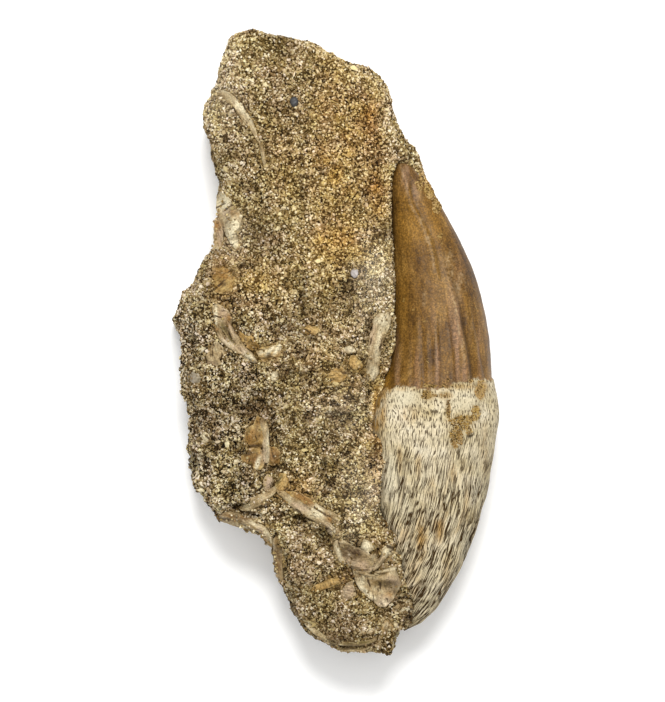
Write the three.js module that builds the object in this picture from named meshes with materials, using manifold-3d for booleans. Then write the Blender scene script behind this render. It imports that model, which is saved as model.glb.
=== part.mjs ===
// A rooted mosasaur tooth in its block of phosphate sandstone, with the bone scraps round it.
// Millimetres, +Z up. The block lies on its flat ground back, and the tooth's tip points to +Y.
import * as THREE from "three";
import Module from "manifold-3d";
import { mergeVertices } from "three/addons/utils/BufferGeometryUtils.js";

const wasm = await Module();
wasm.setup();

// ---- driving dimensions, mm ----
const faceLevel = 26.5; // the face of the rock above the ground back
const ledgeLevel = 11; // the rock under the tooth
const lowerDrop = 2.7; // step down below the bone ridge
const cornerReach = 3.5; // how far in from the rim the rounded corner runs
const cornerPower = 2.6; // superellipse power of the corner
const socketGap = 0.3; // clear space round everything the rock holds
const socketLift = 1.5; // how far a socket is cut on upwards, into the air
const rowCounts = [10, 7, 9, 11, 5, 10]; // rows of the rock in each stretch of rim
const toothSides = 20; // points round a slice of the tooth

// ---- the rim of the rock, in stretches whose left and right sides face each other ----
const topPole = [-20.7, 60.8];
const footPole = [10.6, -62.4];
const rim = [
  {
    left: [topPole, [-21.4, 60], [-21.7, 59], [-22.3, 57], [-23.1, 55.2], [-23.3, 53.1],
      [-23.9, 51.4], [-24.8, 49.9], [-24.9, 48.2]],
    right: [topPole, [-20, 61.5], [-18.7, 62.1], [-16.3, 62.7], [-15, 62.5], [-12.5, 61.6],
      [-10, 61.2], [-7.5, 60.6], [-5, 60.1], [-3, 59.2], [-1.5, 58.4], [0, 57.7],
      [2.3, 56.8], [4.5, 55.8], [6.5, 55.3], [8, 54.2], [9.5, 52.7]],
  },
  {
    left: [[-24.9, 48.2], [-25.8, 47.3], [-26.3, 45.8], [-26.4, 44.1], [-26.2, 42.9],
      [-25.5, 41.4], [-25.1, 39.7], [-24.7, 36.7], [-24, 34.7], [-23.45, 32.3]],
    right: [[9.5, 52.7], [10.6, 50.8], [11.5, 48.6], [11.4, 47.6], [12.2, 45], [12.6, 43.8],
      [13.5, 42.5], [15, 40.1], [16.2, 39.3], [17.2, 37.3], [17.8, 35], [18.2, 33.5]],
  },
  {
    left: [[-23.45, 32.3], [-23.7, 29.4], [-23.6, 26.5], [-24.1, 23.5], [-24.2, 21.9],
      [-24.5, 19.3], [-25.1, 18.3], [-26.1, 17.7], [-27, 16.1], [-27.7, 14.3],
      [-28.7, 12], [-30.5, 10.2], [-31.5, 7.6], [-32.2, 5.8], [-32.9, 4.9]],
    right: [[18.2, 33.5], [20, 30.3], [20.6, 28], [21, 25], [23, 20], [25, 14], [26.5, 8],
      [27.5, 3]],
  },
  {
    left: [[-32.9, 4.9], [-32.1, 3.5], [-31.2, 1.1], [-30.9, -1.8], [-30.9, -4.8],
      [-30.7, -7.7], [-30.6, -10.5], [-29.6, -11.5], [-29.6, -13], [-28.8, -14.7],
      [-29.3, -16.5], [-29.3, -19.4], [-29.5, -21.2], [-29.05, -23.6], [-28.75, -26],
      [-28.45, -27.7], [-27.55, -29.3], [-26.05, -31.6], [-25, -33], [-23.8, -34.1],
      [-23.75, -35.25]],
    right: [[27.5, 3], [28, -4], [28.6, -10], [29.2, -14], [29, -20], [28, -26],
      [26.4, -32], [25.5, -35]],
  },
  {
    left: [[-23.75, -35.25], [-22, -35.6], [-19.9, -36.7], [-17.2, -37.9], [-15.1, -39.1],
      [-13.6, -40.1], [-13.15, -40.4], [-12.7, -42.8], [-12.2, -45.2]],
    right: [[25.5, -35], [24, -39], [22.5, -42], [21.2, -44.5]],
  },
  {
    left: [[-12.2, -45.2], [-11.2, -47.8], [-10, -49.7], [-8.5, -53.6], [-7, -56],
      [-5.2, -58.1], [-3.7, -59.3], [-2.2, -60.2], [-1, -60.7], [1.1, -61.6], [5, -61.6],
      [8.3, -61.7], [10.1, -62.3], footPole],
    right: [[21.2, -44.5], [19, -48.5], [17, -52], [15.4, -55], [14.6, -56.8],
      [12.95, -57.3], [12.65, -58.1], [12.05, -59], [11.9, -60.8], [11, -62.3], footPole],
  },
];

// ---- the rock's face: [y, value] tables, top to bottom ----
// Where the rim is widest: level with the middle of the block on the left, low under the tooth.
const leftRimLevel = [[63, 12], [-63, 10]];
const rightRimLevel = [[63, 12], [34, 10], [24, 7], [3, 6.5], [-35, 6], [-50, 7.5], [-63, 9]];
// The face slopes away to the left of this line.
const flankLine = [[62, -21], [52, -19], [45, -17.5], [35, -15.5], [28, -20], [18, -24.5],
  [8, -24], [0, -22.5], [-5, -25], [-14, -21], [-24, -19], [-33, -17], [-40, -12], [-63, -8]];
// The tooth lies to the right of this edge, and the rock stands as a wall along it.
const coverEdge = [[63, -8], [55, 2], [45, 8], [36.4, 12.9], [33.8, 11.5], [30, 11.3],
  [25.9, 11.8], [18.7, 12.2], [12, 12.5], [5.8, 12.5], [2.6, 12.9], [-0.65, 12.65],
  [-3, 11.2], [-7.1, 9.85], [-10, 9.3], [-14.4, 7.65], [-17, 7.2], [-18.6, 7.6],
  [-19.4, 11.2], [-22, 10.4], [-26, 9.7], [-33.5, 9.3], [-36.6, 10.9], [-38.6, 14.2],
  [-44.8, 13.6], [-48.3, 14.6], [-51, 15.5], [-53.4, 17.1], [-55, 17.9], [-56.5, 19.5],
  [-58, 24], [-63, 24]];
// The bone ridge across the block, as [x, y]: the face is lower below it.
const ridgeLine = [[30, -45], [14, -45], [4, -44], [1, -38], [-4, -33.5], [-10, -29.5],
  [-14.5, -31], [-24, -33], [-33, -33]];
// Hollows in the face: centre, half-sizes, turn in degrees, depth.
const hollows = [
  { at: [4.4, -41.1], half: [2.9, 1.5], turn: -20, depth: 1.7 },
  { at: [-12.6, -25.2], half: [1.7, 1.0], turn: -25, depth: 1.3 },
  { at: [13.7, -54.4], half: [0.8, 0.8], turn: 0, depth: 0.9 },
  { at: [13.4, -50.7], half: [2.1, 1.6], turn: 0, depth: 1.8 },
  { at: [-17.7, 15.3], half: [1.6, 0.6], turn: 5, depth: 0.9 },
  { at: [-21.9, 8.3], half: [1.9, 0.6], turn: -8, depth: 0.9 },
];

// ---- the tooth: [y, value] tables, tip to root end ----
const toothLeft = [[36.9, 12.9], [35, 11.6], [33, 11.2], [30, 11.0], [25, 11.2], [20, 11.4],
  [15, 11.5], [10, 11.4], [5, 11.3], [0, 11.0], [-4, 10.2], [-8, 9.3], [-12, 8.0],
  [-16, 7.2], [-20, 7.6], [-25, 8.2], [-30, 8.6], [-35, 9.4], [-40, 10.8], [-45, 12.2],
  [-50, 13], [-55, 13.2], [-57.3, 13.6]];
const toothRight = [[36.9, 12.9], [36.5, 13.4], [35, 15.2], [33, 17], [30, 19.3],
  [27.8, 20.8], [25, 22.4], [20, 25.1], [15, 27.4], [10, 29.0], [5, 30.15], [0, 30.9],
  [-3.6, 31.1], [-7, 31.1], [-9, 31.5], [-11, 32.2], [-13.2, 32.7], [-16, 32.6],
  [-20, 31.95], [-25, 31.0], [-30, 29.9], [-35, 28.65], [-40, 26.9], [-45, 24.9],
  [-50, 22.0], [-53, 20], [-55, 18.2], [-56.5, 16], [-57.3, 14]];
const toothLevel = [[36.9, 21.5], [30, 20.6], [20, 19], [10, 17.9], [0, 17], [-8, 16.5],
  [-20, 16.2], [-30, 16], [-38, 15.8], [-45, 15.5], [-57.3, 15]];
const toothDepth = [[36.9, 0], [35, 1.3], [33, 2.2], [30, 3.3], [25, 4.4], [20, 5.3],
  [10, 7.3], [0, 8.8], [-8, 9.8], [-15, 10.6], [-20, 10.8], [-30, 10.2], [-38, 9],
  [-45, 7.5], [-50, 5.6], [-55, 3], [-57.3, 0.8]];
const toothStations = [36.2, 35, 33, 30, 26, 21, 16, 11, 6, 1, -3.6, -7.6, -9, -11.3, -14.5,
  -18.5, -23, -28, -33, -37.5, -42, -46, -50, -53.3, -55.7, -57];
const toothTip = [12.9, 36.9, 21.5];
const toothEnd = [13.8, -57.5, 15];

// ---- small helpers ----
const clamp = (x, lo, hi) => Math.min(hi, Math.max(lo, x));
const mix = (a, b, t) => a + (b - a) * t;
const smooth = (a, b, x) => {
  const t = clamp((x - a) / (b - a), 0, 1);
  return t * t * (3 - 2 * t);
};
// 0 for negative x and x for positive x, with the bend between them rounded over a width w
const softRamp = (x, w) => 0.5 * (x + Math.hypot(x, w));

function readTable(table, key) {
  if (key >= table[0][0]) {
    return table[0][1];
  }
  for (let i = 1; i < table.length; i += 1) {
    if (key >= table[i][0]) {
      const t = (key - table[i][0]) / (table[i - 1][0] - table[i][0]);
      return mix(table[i][1], table[i - 1][1], t);
    }
  }
  return table[table.length - 1][1];
}

function alongPath(points, t) {
  const lengths = [0];
  for (let i = 1; i < points.length; i += 1) {
    const step = Math.hypot(points[i][0] - points[i - 1][0], points[i][1] - points[i - 1][1]);
    lengths.push(lengths[i - 1] + step);
  }
  const goal = t * lengths[lengths.length - 1];
  let i = 1;
  while (i < lengths.length - 1 && lengths[i] < goal) {
    i += 1;
  }
  const f = (goal - lengths[i - 1]) / (lengths[i] - lengths[i - 1]);
  return [mix(points[i - 1][0], points[i][0], f), mix(points[i - 1][1], points[i][1], f)];
}

// ---- closed skins: a pole, rings of equal count, a pole ----
function closedSkin(poleA, rings, poleB) {
  const count = rings[0].length;
  const points = [poleA, ...rings.flat(), poleB];
  const last = points.length - 1;
  const at = (row, k) => 1 + row * count + (k % count);
  let faces = [];
  for (let k = 0; k < count; k += 1) {
    faces.push([0, at(0, k), at(0, k + 1)]);
    for (let row = 0; row + 1 < rings.length; row += 1) {
      faces.push([at(row, k), at(row + 1, k), at(row, k + 1)]);
      faces.push([at(row, k + 1), at(row + 1, k), at(row + 1, k + 1)]);
    }
    faces.push([at(rings.length - 1, k), last, at(rings.length - 1, k + 1)]);
  }
  const volume = faces.reduce((sum, [a, b, c]) => {
    const [p, q, r] = [points[a], points[b], points[c]];
    return sum + p[0] * (q[1] * r[2] - q[2] * r[1]) + p[1] * (q[2] * r[0] - q[0] * r[2])
      + p[2] * (q[0] * r[1] - q[1] * r[0]);
  }, 0);
  if (volume < 0) {
    faces = faces.map(([a, b, c]) => [a, c, b]);
  }
  const geometry = new THREE.BufferGeometry();
  geometry.setAttribute("position", new THREE.Float32BufferAttribute(points.flat(), 3));
  geometry.setIndex(faces.flat());
  return geometry;
}

function toSolid(geometry) {
  const bare = geometry.clone();
  bare.deleteAttribute("normal");
  bare.deleteAttribute("uv");
  const merged = mergeVertices(bare, 1e-5);
  return new wasm.Manifold(new wasm.Mesh({
    numProp: 3,
    vertProperties: new Float32Array(merged.attributes.position.array),
    triVerts: new Uint32Array(merged.index.array),
  }));
}

function fromSolid(solid) {
  const mesh = solid.getMesh();
  const geometry = new THREE.BufferGeometry();
  geometry.setAttribute("position", new THREE.Float32BufferAttribute(mesh.vertProperties, 3));
  geometry.setIndex([...mesh.triVerts]);
  return geometry;
}

// ---- the rock before anything is let into it ----
function hollowDepth(x, y) {
  let deepest = 0;
  for (const { at, half, turn, depth } of hollows) {
    const a = (turn * Math.PI) / 180;
    const [dx, dy] = [x - at[0], y - at[1]];
    const across = (dx * Math.cos(a) + dy * Math.sin(a)) / half[0];
    const along = (-dx * Math.sin(a) + dy * Math.cos(a)) / half[1];
    deepest = Math.max(deepest, depth * (1 - smooth(0.3, 1.2, Math.hypot(across, along))));
  }
  return deepest;
}

function faceHeight(x, y) {
  let z = faceLevel - 0.0009 * Math.max(0, y - 20) ** 2;
  const steep = 0.6 - 0.3 * smooth(28, 33, y) * (1 - smooth(46, 52, y));
  z -= steep * softRamp(readTable(flankLine, y) - x, 2);
  z -= lowerDrop * smooth(0, 4, readTable(ridgeLine, x) - y);
  z -= 0.22 * softRamp(-54 - y, 2);
  const ledge = mix(mix(ledgeLevel, 21.3, smooth(23, 33, y)), z, smooth(34.5, 38, y));
  return mix(z, ledge, smooth(0, 0.8, x - readTable(coverEdge, y)));
}

const backHeight = (x, y) => -1.3 + 0.0018 * (x + 2) ** 2 + 0.0006 * (y + 2) ** 2;

// The share of a row where it crosses the wall beside the tooth.
function wallShare(left, right) {
  let [lo, hi] = [0.25, 0.85];
  const past = (s) => {
    const [x, y] = [mix(left[0], right[0], s), mix(left[1], right[1], s)];
    return x - readTable(coverEdge, y);
  };
  for (let k = 0; k < 24; k += 1) {
    const s = 0.5 * (lo + hi);
    [lo, hi] = past(s) < 0 ? [s, hi] : [lo, s];
  }
  return 0.5 * (lo + hi);
}

// A row is a ring across the block: up the left corner, over the face, down the right corner,
// and back underneath.
function rockRing(left, right, slant, depthIn) {
  const length = Math.hypot(right[0] - left[0], right[1] - left[1]);
  const inset = slant.map((s) => Math.min((cornerReach * s) / length, 0.42));
  const rise = (1 - (1 - Math.min(1, depthIn / cornerReach)) ** cornerPower) ** (1 / cornerPower);
  const corner = (steps, side) => Array.from({ length: steps }, (_, k) => {
    const a = ((k + 0.001) / steps) * 0.5 * Math.PI;
    const s = inset[side] * (1 - Math.cos(a) ** (2 / cornerPower));
    return [side ? 1 - s : s, Math.sin(a) ** (2 / cornerPower)];
  });
  const wall = wallShare(left, right);
  const wallWidth = Math.min(0.9 / length, 0.05);
  const [s0, s1] = [inset[0], 1 - inset[1]];
  const face = [];
  for (let k = 0; k <= 6; k += 1) {
    face.push([mix(s0, wall, k / 6), 1]);
  }
  for (let k = 0; k <= 3; k += 1) {
    face.push([mix(wall + wallWidth, s1, k / 3), 1]);
  }
  const back = [0.25, 0.5, 0.75].map((t) => [mix(s1, s0, t), -1]);
  const shares = [
    ...corner(4, 0), ...face, ...corner(4, 1).reverse(),
    ...corner(3, 1).slice(1).map(([s, lift]) => [s, -lift]), [s1, -1],
    ...back, [s0, -1], ...corner(3, 0).slice(1).reverse().map(([s, lift]) => [s, -lift]),
  ];
  return shares.map(([s, lift]) => {
    const [x, y] = [mix(left[0], right[0], s), mix(left[1], right[1], s)];
    const middle = mix(readTable(leftRimLevel, y), readTable(rightRimLevel, y), s);
    const far = lift > 0 ? faceHeight(x, y) - hollowDepth(x, y) : backHeight(x, y);
    return [x, y, middle + (far - middle) * Math.abs(lift) * rise];
  });
}

function rowSlant(stretch, side, t, left, right) {
  const [before, after] = [alongPath(stretch[side], Math.max(0, t - 0.06)),
    alongPath(stretch[side], Math.min(1, t + 0.06))];
  const [ex, ey] = [after[0] - before[0], after[1] - before[1]];
  const [rx, ry] = [right[0] - left[0], right[1] - left[1]];
  const sine = Math.abs(ex * ry - ey * rx) / (Math.hypot(ex, ey) * Math.hypot(rx, ry));
  return 1 / Math.max(0.4, sine);
}

const rockRows = [];
rim.forEach((stretch, index) => {
  const rows = rowCounts[index];
  for (let k = 1; k <= rows; k += 1) {
    let t = k / rows;
    if (index === 0) {
      t **= 1.5;
    }
    if (index === rim.length - 1) {
      t = 1 - (1 - t) ** 1.5;
      if (k === rows) {
        continue;
      }
    }
    const [left, right] = [alongPath(stretch.left, t), alongPath(stretch.right, t)];
    const middle = [0.5 * (left[0] + right[0]), 0.5 * (left[1] + right[1])];
    const depthIn = Math.min(
      Math.hypot(middle[0] - topPole[0], middle[1] - topPole[1]),
      Math.hypot(middle[0] - footPole[0], middle[1] - footPole[1]),
    );
    const slant = ["left", "right"].map((side) => rowSlant(stretch, side, t, left, right));
    rockRows.push(rockRing(left, right, slant, depthIn));
  }
});
const rockSkin = closedSkin([...topPole, 12], rockRows, [...footPole, 9]);

// The height of the rock straight above or below a point.
const rockPoints = rockSkin.attributes.position.array;
const rockFaces = rockSkin.index.array;
function rockHeight(x, y) {
  let best = -Infinity;
  for (let f = 0; f < rockFaces.length; f += 3) {
    const [a, b, c] = [rockFaces[f] * 3, rockFaces[f + 1] * 3, rockFaces[f + 2] * 3];
    const [ax, ay, bx, by, cx, cy] = [rockPoints[a], rockPoints[a + 1], rockPoints[b],
      rockPoints[b + 1], rockPoints[c], rockPoints[c + 1]];
    const area = (bx - ax) * (cy - ay) - (by - ay) * (cx - ax);
    if (area <= 1e-9) {
      continue;
    }
    const v = ((x - ax) * (cy - ay) - (y - ay) * (cx - ax)) / area;
    const w = ((bx - ax) * (y - ay) - (by - ay) * (x - ax)) / area;
    if (v >= -1e-6 && w >= -1e-6 && v + w <= 1 + 1e-6) {
      const z = rockPoints[a + 2] * (1 - v - w) + rockPoints[b + 2] * v + rockPoints[c + 2] * w;
      best = Math.max(best, z);
    }
  }
  return best;
}

// ---- the tooth: oval slices from the crown's tip to the end of the root ----
function toothSkin(grow) {
  const rings = toothStations.map((y) => {
    const [left, right] = [readTable(toothLeft, y) - grow, readTable(toothRight, y) + grow];
    const [level, depth] = [readTable(toothLevel, y), readTable(toothDepth, y) + grow];
    const power = y > -8 ? 2.05 : 2.25;
    return Array.from({ length: toothSides }, (_, k) => {
      const a = (2 * Math.PI * k) / toothSides;
      const [c, s] = [Math.cos(a), Math.sin(a)];
      const x = 0.5 * (left + right) + 0.5 * (right - left) * Math.sign(c) * Math.abs(c) ** (2 / power);
      return [x, y, level + depth * Math.sign(s) * Math.abs(s) ** (2 / power)];
    });
  });
  const tip = [toothTip[0], toothTip[1] + grow, toothTip[2]];
  const end = [toothEnd[0], toothEnd[1] - grow, toothEnd[2]];
  return closedSkin(tip, rings, end);
}

// ---- a flake: a flat chip of any outline, domed on top and sunk in the rock ----
// The outline moved outwards by the same distance all round.
function widened(outline, grow) {
  const n = outline.length;
  const area = outline.reduce((sum, p, i) => {
    const q = outline[(i + 1) % n];
    return sum + p[0] * q[1] - q[0] * p[1];
  }, 0);
  const edgeNormal = (p, q) => {
    const length = Math.hypot(q[0] - p[0], q[1] - p[1]) * Math.sign(area);
    return [(q[1] - p[1]) / length, (p[0] - q[0]) / length];
  };
  return outline.map((p, i) => {
    const [ax, ay] = edgeNormal(outline[(i + n - 1) % n], p);
    const [bx, by] = edgeNormal(p, outline[(i + 1) % n]);
    const reach = grow / Math.max(0.35, 1 + ax * bx + ay * by);
    return [p[0] + (ax + bx) * reach, p[1] + (ay + by) * reach];
  });
}

function flakeSkin({ outline, proud = 0.5, sunk = 1.2 }, grow) {
  const n = outline.length;
  const centre = [0, 1].map((i) => outline.reduce((sum, p) => sum + p[i], 0) / n);
  const wide = widened(outline, grow);
  const between = (p, share) => [0, 1].map((i) => mix(centre[i], p[i], share));
  const air = grow ? socketLift : 0;
  const above = (share) => proud * (1 - 0.6 * share ** 3) + air;
  const top = (share) => outline.map((p, i) => [
    ...between(wide[i], share), rockHeight(...between(p, share)) + above(share)]);
  const under = outline.map((p, i) => {
    const level = Math.min(rockHeight(...between(p, 0.9)), rockHeight(...p));
    const slope = Math.abs(rockHeight(...centre) - level) / Math.hypot(p[0] - centre[0], p[1] - centre[1]);
    return [...between(wide[i], 0.94), level - sunk - grow * (1 + 1.5 * slope)];
  });
  const peak = [...centre, rockHeight(...centre) + above(0)];
  const root = [...centre, rockHeight(...centre) - sunk - 3 * grow];
  return closedSkin(peak, [top(0.6), top(1), under], root);
}

// ---- a splinter: a rod along a path, half sunk in the rock ----
function splinterSkin({ path, width, proud = 0.6, sunk = 1.1 }, grow) {
  const sides = 6;
  const air = grow ? socketLift : 0;
  const heading = (i) => {
    const [a, b] = [path[Math.max(0, i - 1)], path[Math.min(path.length - 1, i + 1)]];
    const length = Math.hypot(b[0] - a[0], b[1] - a[1]);
    return [(b[0] - a[0]) / length, (b[1] - a[1]) / length];
  };
  const rings = path.map(([px, py], i) => {
    const [tx, ty] = heading(i);
    return Array.from({ length: sides }, (_, k) => {
      const a = (2 * Math.PI * k) / sides;
      const out = (width[i] + grow) * Math.cos(a);
      const up = Math.sin(a) > 0 ? proud + air : sunk + grow;
      const [x, y] = [px - ty * out, py + tx * out];
      return [x, y, rockHeight(px, py) + up * Math.sin(a)];
    });
  });
  const cap = (i, way) => {
    const [tx, ty] = heading(i);
    const reach = way * (0.5 * width[i] + 1.4 * grow);
    return [path[i][0] + tx * reach, path[i][1] + ty * reach, rockHeight(...path[i]) - 0.15];
  };
  return closedSkin(cap(0, -1), rings, cap(path.length - 1, 1));
}

const disc = (x, y, rx, ry) => Array.from({ length: 7 }, (_, k) => {
  const a = (2 * Math.PI * k) / 7;
  return [x + rx * Math.cos(a), y + ry * Math.sin(a)];
});

// ---- what the rock's face holds, from the top of the block to its foot ----
const paleBone = { color: 0xc9b795 };
const amberBone = { color: 0xa5763c };
const pebbleStone = { color: 0x8a8276 };
const scraps = [
  { name: "rib_splinter", ...paleBone, width: [0.4, 0.9, 1.15, 1.15, 1, 0.8, 0.35],
    path: [[-23.4, 50.2], [-22.5, 50.4], [-21, 49.6], [-19.5, 47.8], [-18, 46], [-16.8, 44],
      [-15.6, 41.8]] },
  { name: "thin_sliver", ...paleBone, width: [0.3, 0.55, 0.3], proud: 0.4,
    path: [[-14.8, 40], [-14, 37], [-13.6, 34.2]] },
  { name: "dark_pebble", ...pebbleStone, outline: disc(-8.1, 47.7, 0.7, 0.9), proud: 0.5 },
  { name: "edge_flake", ...paleBone, proud: 0.7,
    outline: [[-22, 29.8], [-21.2, 29.3], [-20.2, 27.2], [-18.7, 25.4], [-18.6, 23.2],
      [-19.2, 20.8], [-19.8, 19.2], [-21.5, 18.8], [-22.4, 19.8], [-22.4, 22], [-22.1, 25.6],
      [-22.1, 28]] },
  { name: "amber_patch", ...amberBone, proud: 0.6,
    outline: [[-24, 16.4], [-21.6, 17], [-20, 16.6], [-19, 15.2], [-19, 13.4], [-20.3, 12.1],
      [-21.2, 11.2], [-23, 11], [-24.1, 12], [-24.4, 14.2]] },
  { name: "forked_bone", ...paleBone, proud: 0.8, sunk: 1.2,
    width: [0.8, 1.3, 1.5, 1.5, 1.2, 0.85, 0.35],
    path: [[-22.9, 7.2], [-22.2, 5], [-21.6, 2.7], [-20.7, 0.7], [-18.7, -1.2], [-16.7, -2.6],
      [-15.1, -3.8]] },
  { name: "side_flake", ...paleBone, proud: 0.5,
    outline: [[-23.3, -0.9], [-24.3, -0.7], [-25.4, -1.9], [-26.8, -3.2], [-26, -4.3],
      [-24, -4.2], [-22.9, -2.7]] },
  { name: "v_chip", ...amberBone, proud: 0.5,
    outline: [[-15.6, -0.5], [-14.4, -1.9], [-13.2, -3.2], [-12.4, -4.2], [-11.6, -3.2],
      [-10.8, -1.2], [-10.2, 0.3], [-11.1, 0.2], [-12.5, -0.8], [-14, -0.5]] },
  { name: "white_chip", ...paleBone, outline: disc(-12.2, -6.2, 0.9, 0.8), proud: 0.4 },
  { name: "yellow_chip", ...amberBone, proud: 0.4,
    outline: [[-6, 2.7], [-5.2, 3.3], [-3.2, 3.1], [-3.4, 2.3], [-5, 1.9]] },
  { name: "bone_rod", ...paleBone, proud: 0.9, sunk: 1.3,
    width: [0.8, 1.4, 1.2, 1, 1, 1.1, 0.6],
    path: [[9.3, 5.4], [8.8, 3.5], [8, 1], [7.6, -1.5], [7.4, -4], [7.2, -6.3], [7, -8]] },
  { name: "lilac_speck", ...pebbleStone, outline: disc(3.9, 13.8, 0.8, 1), proud: 0.4 },
  { name: "flat_chip", ...paleBone, proud: 0.4,
    outline: [[1.5, -0.9], [2.6, -0.6], [4.1, -1.2], [3.6, -2], [2.2, -2]] },
  { name: "ochre_flake", ...amberBone, proud: 0.5,
    outline: [[-1.5, -6.5], [0, -5.2], [1.8, -5], [2.4, -6], [1.8, -7.2], [0.2, -8],
      [-1.2, -7.8]] },
  { name: "round_pebble", ...pebbleStone, outline: disc(-28, -7, 1.3, 1.3), proud: 0.9 },
  { name: "cream_chip", ...paleBone, proud: 0.4,
    outline: [[-27.2, -18], [-26.2, -17.6], [-25.1, -18.4], [-25.3, -19.6], [-26.6, -19.9],
      [-27.3, -19.2]] },
  { name: "cluster_top", ...amberBone, proud: 0.6,
    outline: [[-17.3, -16.4], [-15.9, -16.6], [-15.5, -18.4], [-15.6, -20], [-17.2, -20],
      [-17.4, -18]] },
  { name: "cluster_column", ...paleBone, proud: 0.9, width: [0.5, 0.75, 0.75, 0.6, 0.45],
    path: [[-14.3, -15.2], [-14.1, -17.5], [-13.8, -20], [-13.7, -22], [-13.7, -23.7]] },
  { name: "cluster_left", ...amberBone, proud: 0.8,
    outline: [[-17, -21.2], [-15.5, -20.9], [-14.9, -22], [-14.8, -24.2], [-15.4, -25.1],
      [-16.8, -24.4], [-18.2, -23.4], [-18.8, -22.2]] },
  { name: "cluster_right", ...amberBone, proud: 0.8,
    outline: [[-12.6, -20.9], [-11.4, -21.2], [-10.4, -22], [-10.6, -23.2], [-11.1, -24],
      [-12.6, -23.9]] },
  { name: "pink_flake", ...paleBone, proud: 0.6,
    outline: [[-14.3, -26.6], [-13, -26.5], [-12.4, -27.2], [-12.9, -28.8], [-13.8, -28.6],
      [-14.5, -27.6]] },
  { name: "gold_flake", ...amberBone, proud: 0.6,
    outline: [[-10.7, -26.1], [-9.9, -26.2], [-9.3, -27.2], [-9.6, -28.3], [-10, -28.8],
      [-11.2, -28.6], [-11.3, -27.8], [-11, -27]] },
  { name: "ridge_ochre", ...amberBone, proud: 0.7,
    outline: [[-9.2, -29.5], [-7.6, -29.5], [-5.6, -30.2], [-4.1, -31.4], [-5, -32.1],
      [-6.4, -31.8], [-8, -31], [-9.2, -30.2]] },
  { name: "ridge_cream", ...paleBone, proud: 0.8,
    outline: [[-5.3, -33], [-4.2, -32.4], [-2.9, -32.9], [-1.2, -34.2], [0, -35.3],
      [-0.8, -35.6], [-2.4, -34.9], [-4.2, -34]] },
  { name: "ridge_tail", ...paleBone, proud: 0.6,
    outline: [[-1.6, -36.2], [0.1, -36.3], [1.3, -37.2], [1.6, -38.1], [0.6, -38.3],
      [-0.5, -37.5]] },
  { name: "left_band", ...paleBone, proud: 0.5, width: [0.4, 0.75, 0.75, 0.4],
    path: [[-18.3, -32.4], [-16.6, -31.6], [-15, -30.8], [-13.9, -30.2]] },
  { name: "notch_sheet", ...paleBone, proud: 0.5, sunk: 1,
    width: [0.4, 0.7, 0.8, 0.8, 0.8, 0.7, 0.6, 0.3],
    path: [[-22.2, -34.1], [-19.5, -34.8], [-16.5, -35.9], [-14.2, -37.3], [-12.4, -39.5],
      [-11.6, -42], [-11.1, -45], [-10.3, -47.3]] },
  { name: "ochre_sliver", ...amberBone, proud: 0.4,
    outline: [[2.6, -46.3], [0.4, -46.5], [-2.4, -47], [-4.9, -48], [-4.5, -49.2],
      [-1.6, -48.5], [1, -47.4]] },
  { name: "small_flake", ...paleBone, proud: 0.5,
    outline: [[0.7, -49.6], [1.2, -48.3], [2.2, -47.4], [3.2, -47.2], [3.6, -48.4],
      [2.9, -50.1], [1.8, -51], [1, -50.4]] },
  { name: "hollow_bone", ...paleBone, proud: 0.9, sunk: 1.3,
    width: [0.4, 0.75, 0.9, 0.85, 0.8, 0.9, 0.7, 0.4],
    path: [[0.4, -39.5], [0.7, -41.4], [1.7, -43.2], [3.7, -43.9], [6, -43.7], [8.4, -43.2],
      [9.9, -42.2], [10.7, -41.1]] },
  { name: "upper_shard", ...paleBone, proud: 0.5,
    outline: [[5.6, -39.2], [7.1, -39], [7.6, -40.2], [7.2, -41], [6.3, -40.6]] },
  { name: "plate_rim", ...paleBone, proud: 0.5, width: [0.3, 0.45, 0.5, 0.3],
    path: [[8.2, -45.1], [10, -44.9], [12, -44.5], [13, -44.3]] },
  { name: "big_plate", ...paleBone, proud: 0.8, sunk: 1.4,
    outline: [[4.3, -46.9], [5.2, -46.6], [7.2, -46.2], [10, -46], [12.8, -45.5],
      [13.4, -46.4], [13.1, -48], [12, -49.4], [10.8, -51], [10, -52.2], [8.6, -52.2],
      [7.4, -50.9], [6, -50], [4.9, -49]] },
  { name: "pale_arc", ...paleBone, proud: 0.5, width: [0.3, 0.4, 0.4, 0.3],
    path: [[12.9, -53.2], [13.8, -52.7], [14.7, -52.9], [15, -53.6]] },
  { name: "base_sheet", ...paleBone, proud: 0.5, sunk: 1, width: [0.4, 0.6, 0.7, 0.7, 0.6, 0.3],
    path: [[-7, -53.8], [-5.1, -56.3], [-2.2, -58.5], [1, -59.4], [5, -59.6], [8.2, -58.9]] },
  { name: "base_bit", ...amberBone, proud: 0.4,
    outline: [[9.3, -55.2], [10.7, -54.9], [11.1, -56.3], [10.4, -57.4], [9.3, -56.9]] },
];

// ---- put together ----
const group = new THREE.Group();
group.name = "mosasaur_tooth_in_matrix";

function addPiece(name, geometry, color) {
  const flat = geometry.toNonIndexed();
  flat.computeVertexNormals();
  const mesh = new THREE.Mesh(flat, new THREE.MeshStandardMaterial({ color, roughness: 0.8 }));
  mesh.name = name;
  group.add(mesh);
}

const skinOf = (scrap, grow) => (scrap.path ? splinterSkin(scrap, grow) : flakeSkin(scrap, grow));

// Everything below the ground back is cut away.
const ground = new THREE.BoxGeometry(200, 300, 50).translate(0, 0, -25);
let rock = toSolid(rockSkin).subtract(toSolid(ground)).subtract(toSolid(toothSkin(socketGap)));
for (const scrap of scraps) {
  rock = rock.subtract(toSolid(skinOf(scrap, socketGap)));
}
// Cutting leaves loose crumbs behind; the block is the largest body.
const bodies = rock.decompose().sort((a, b) => b.volume() - a.volume());

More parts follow.
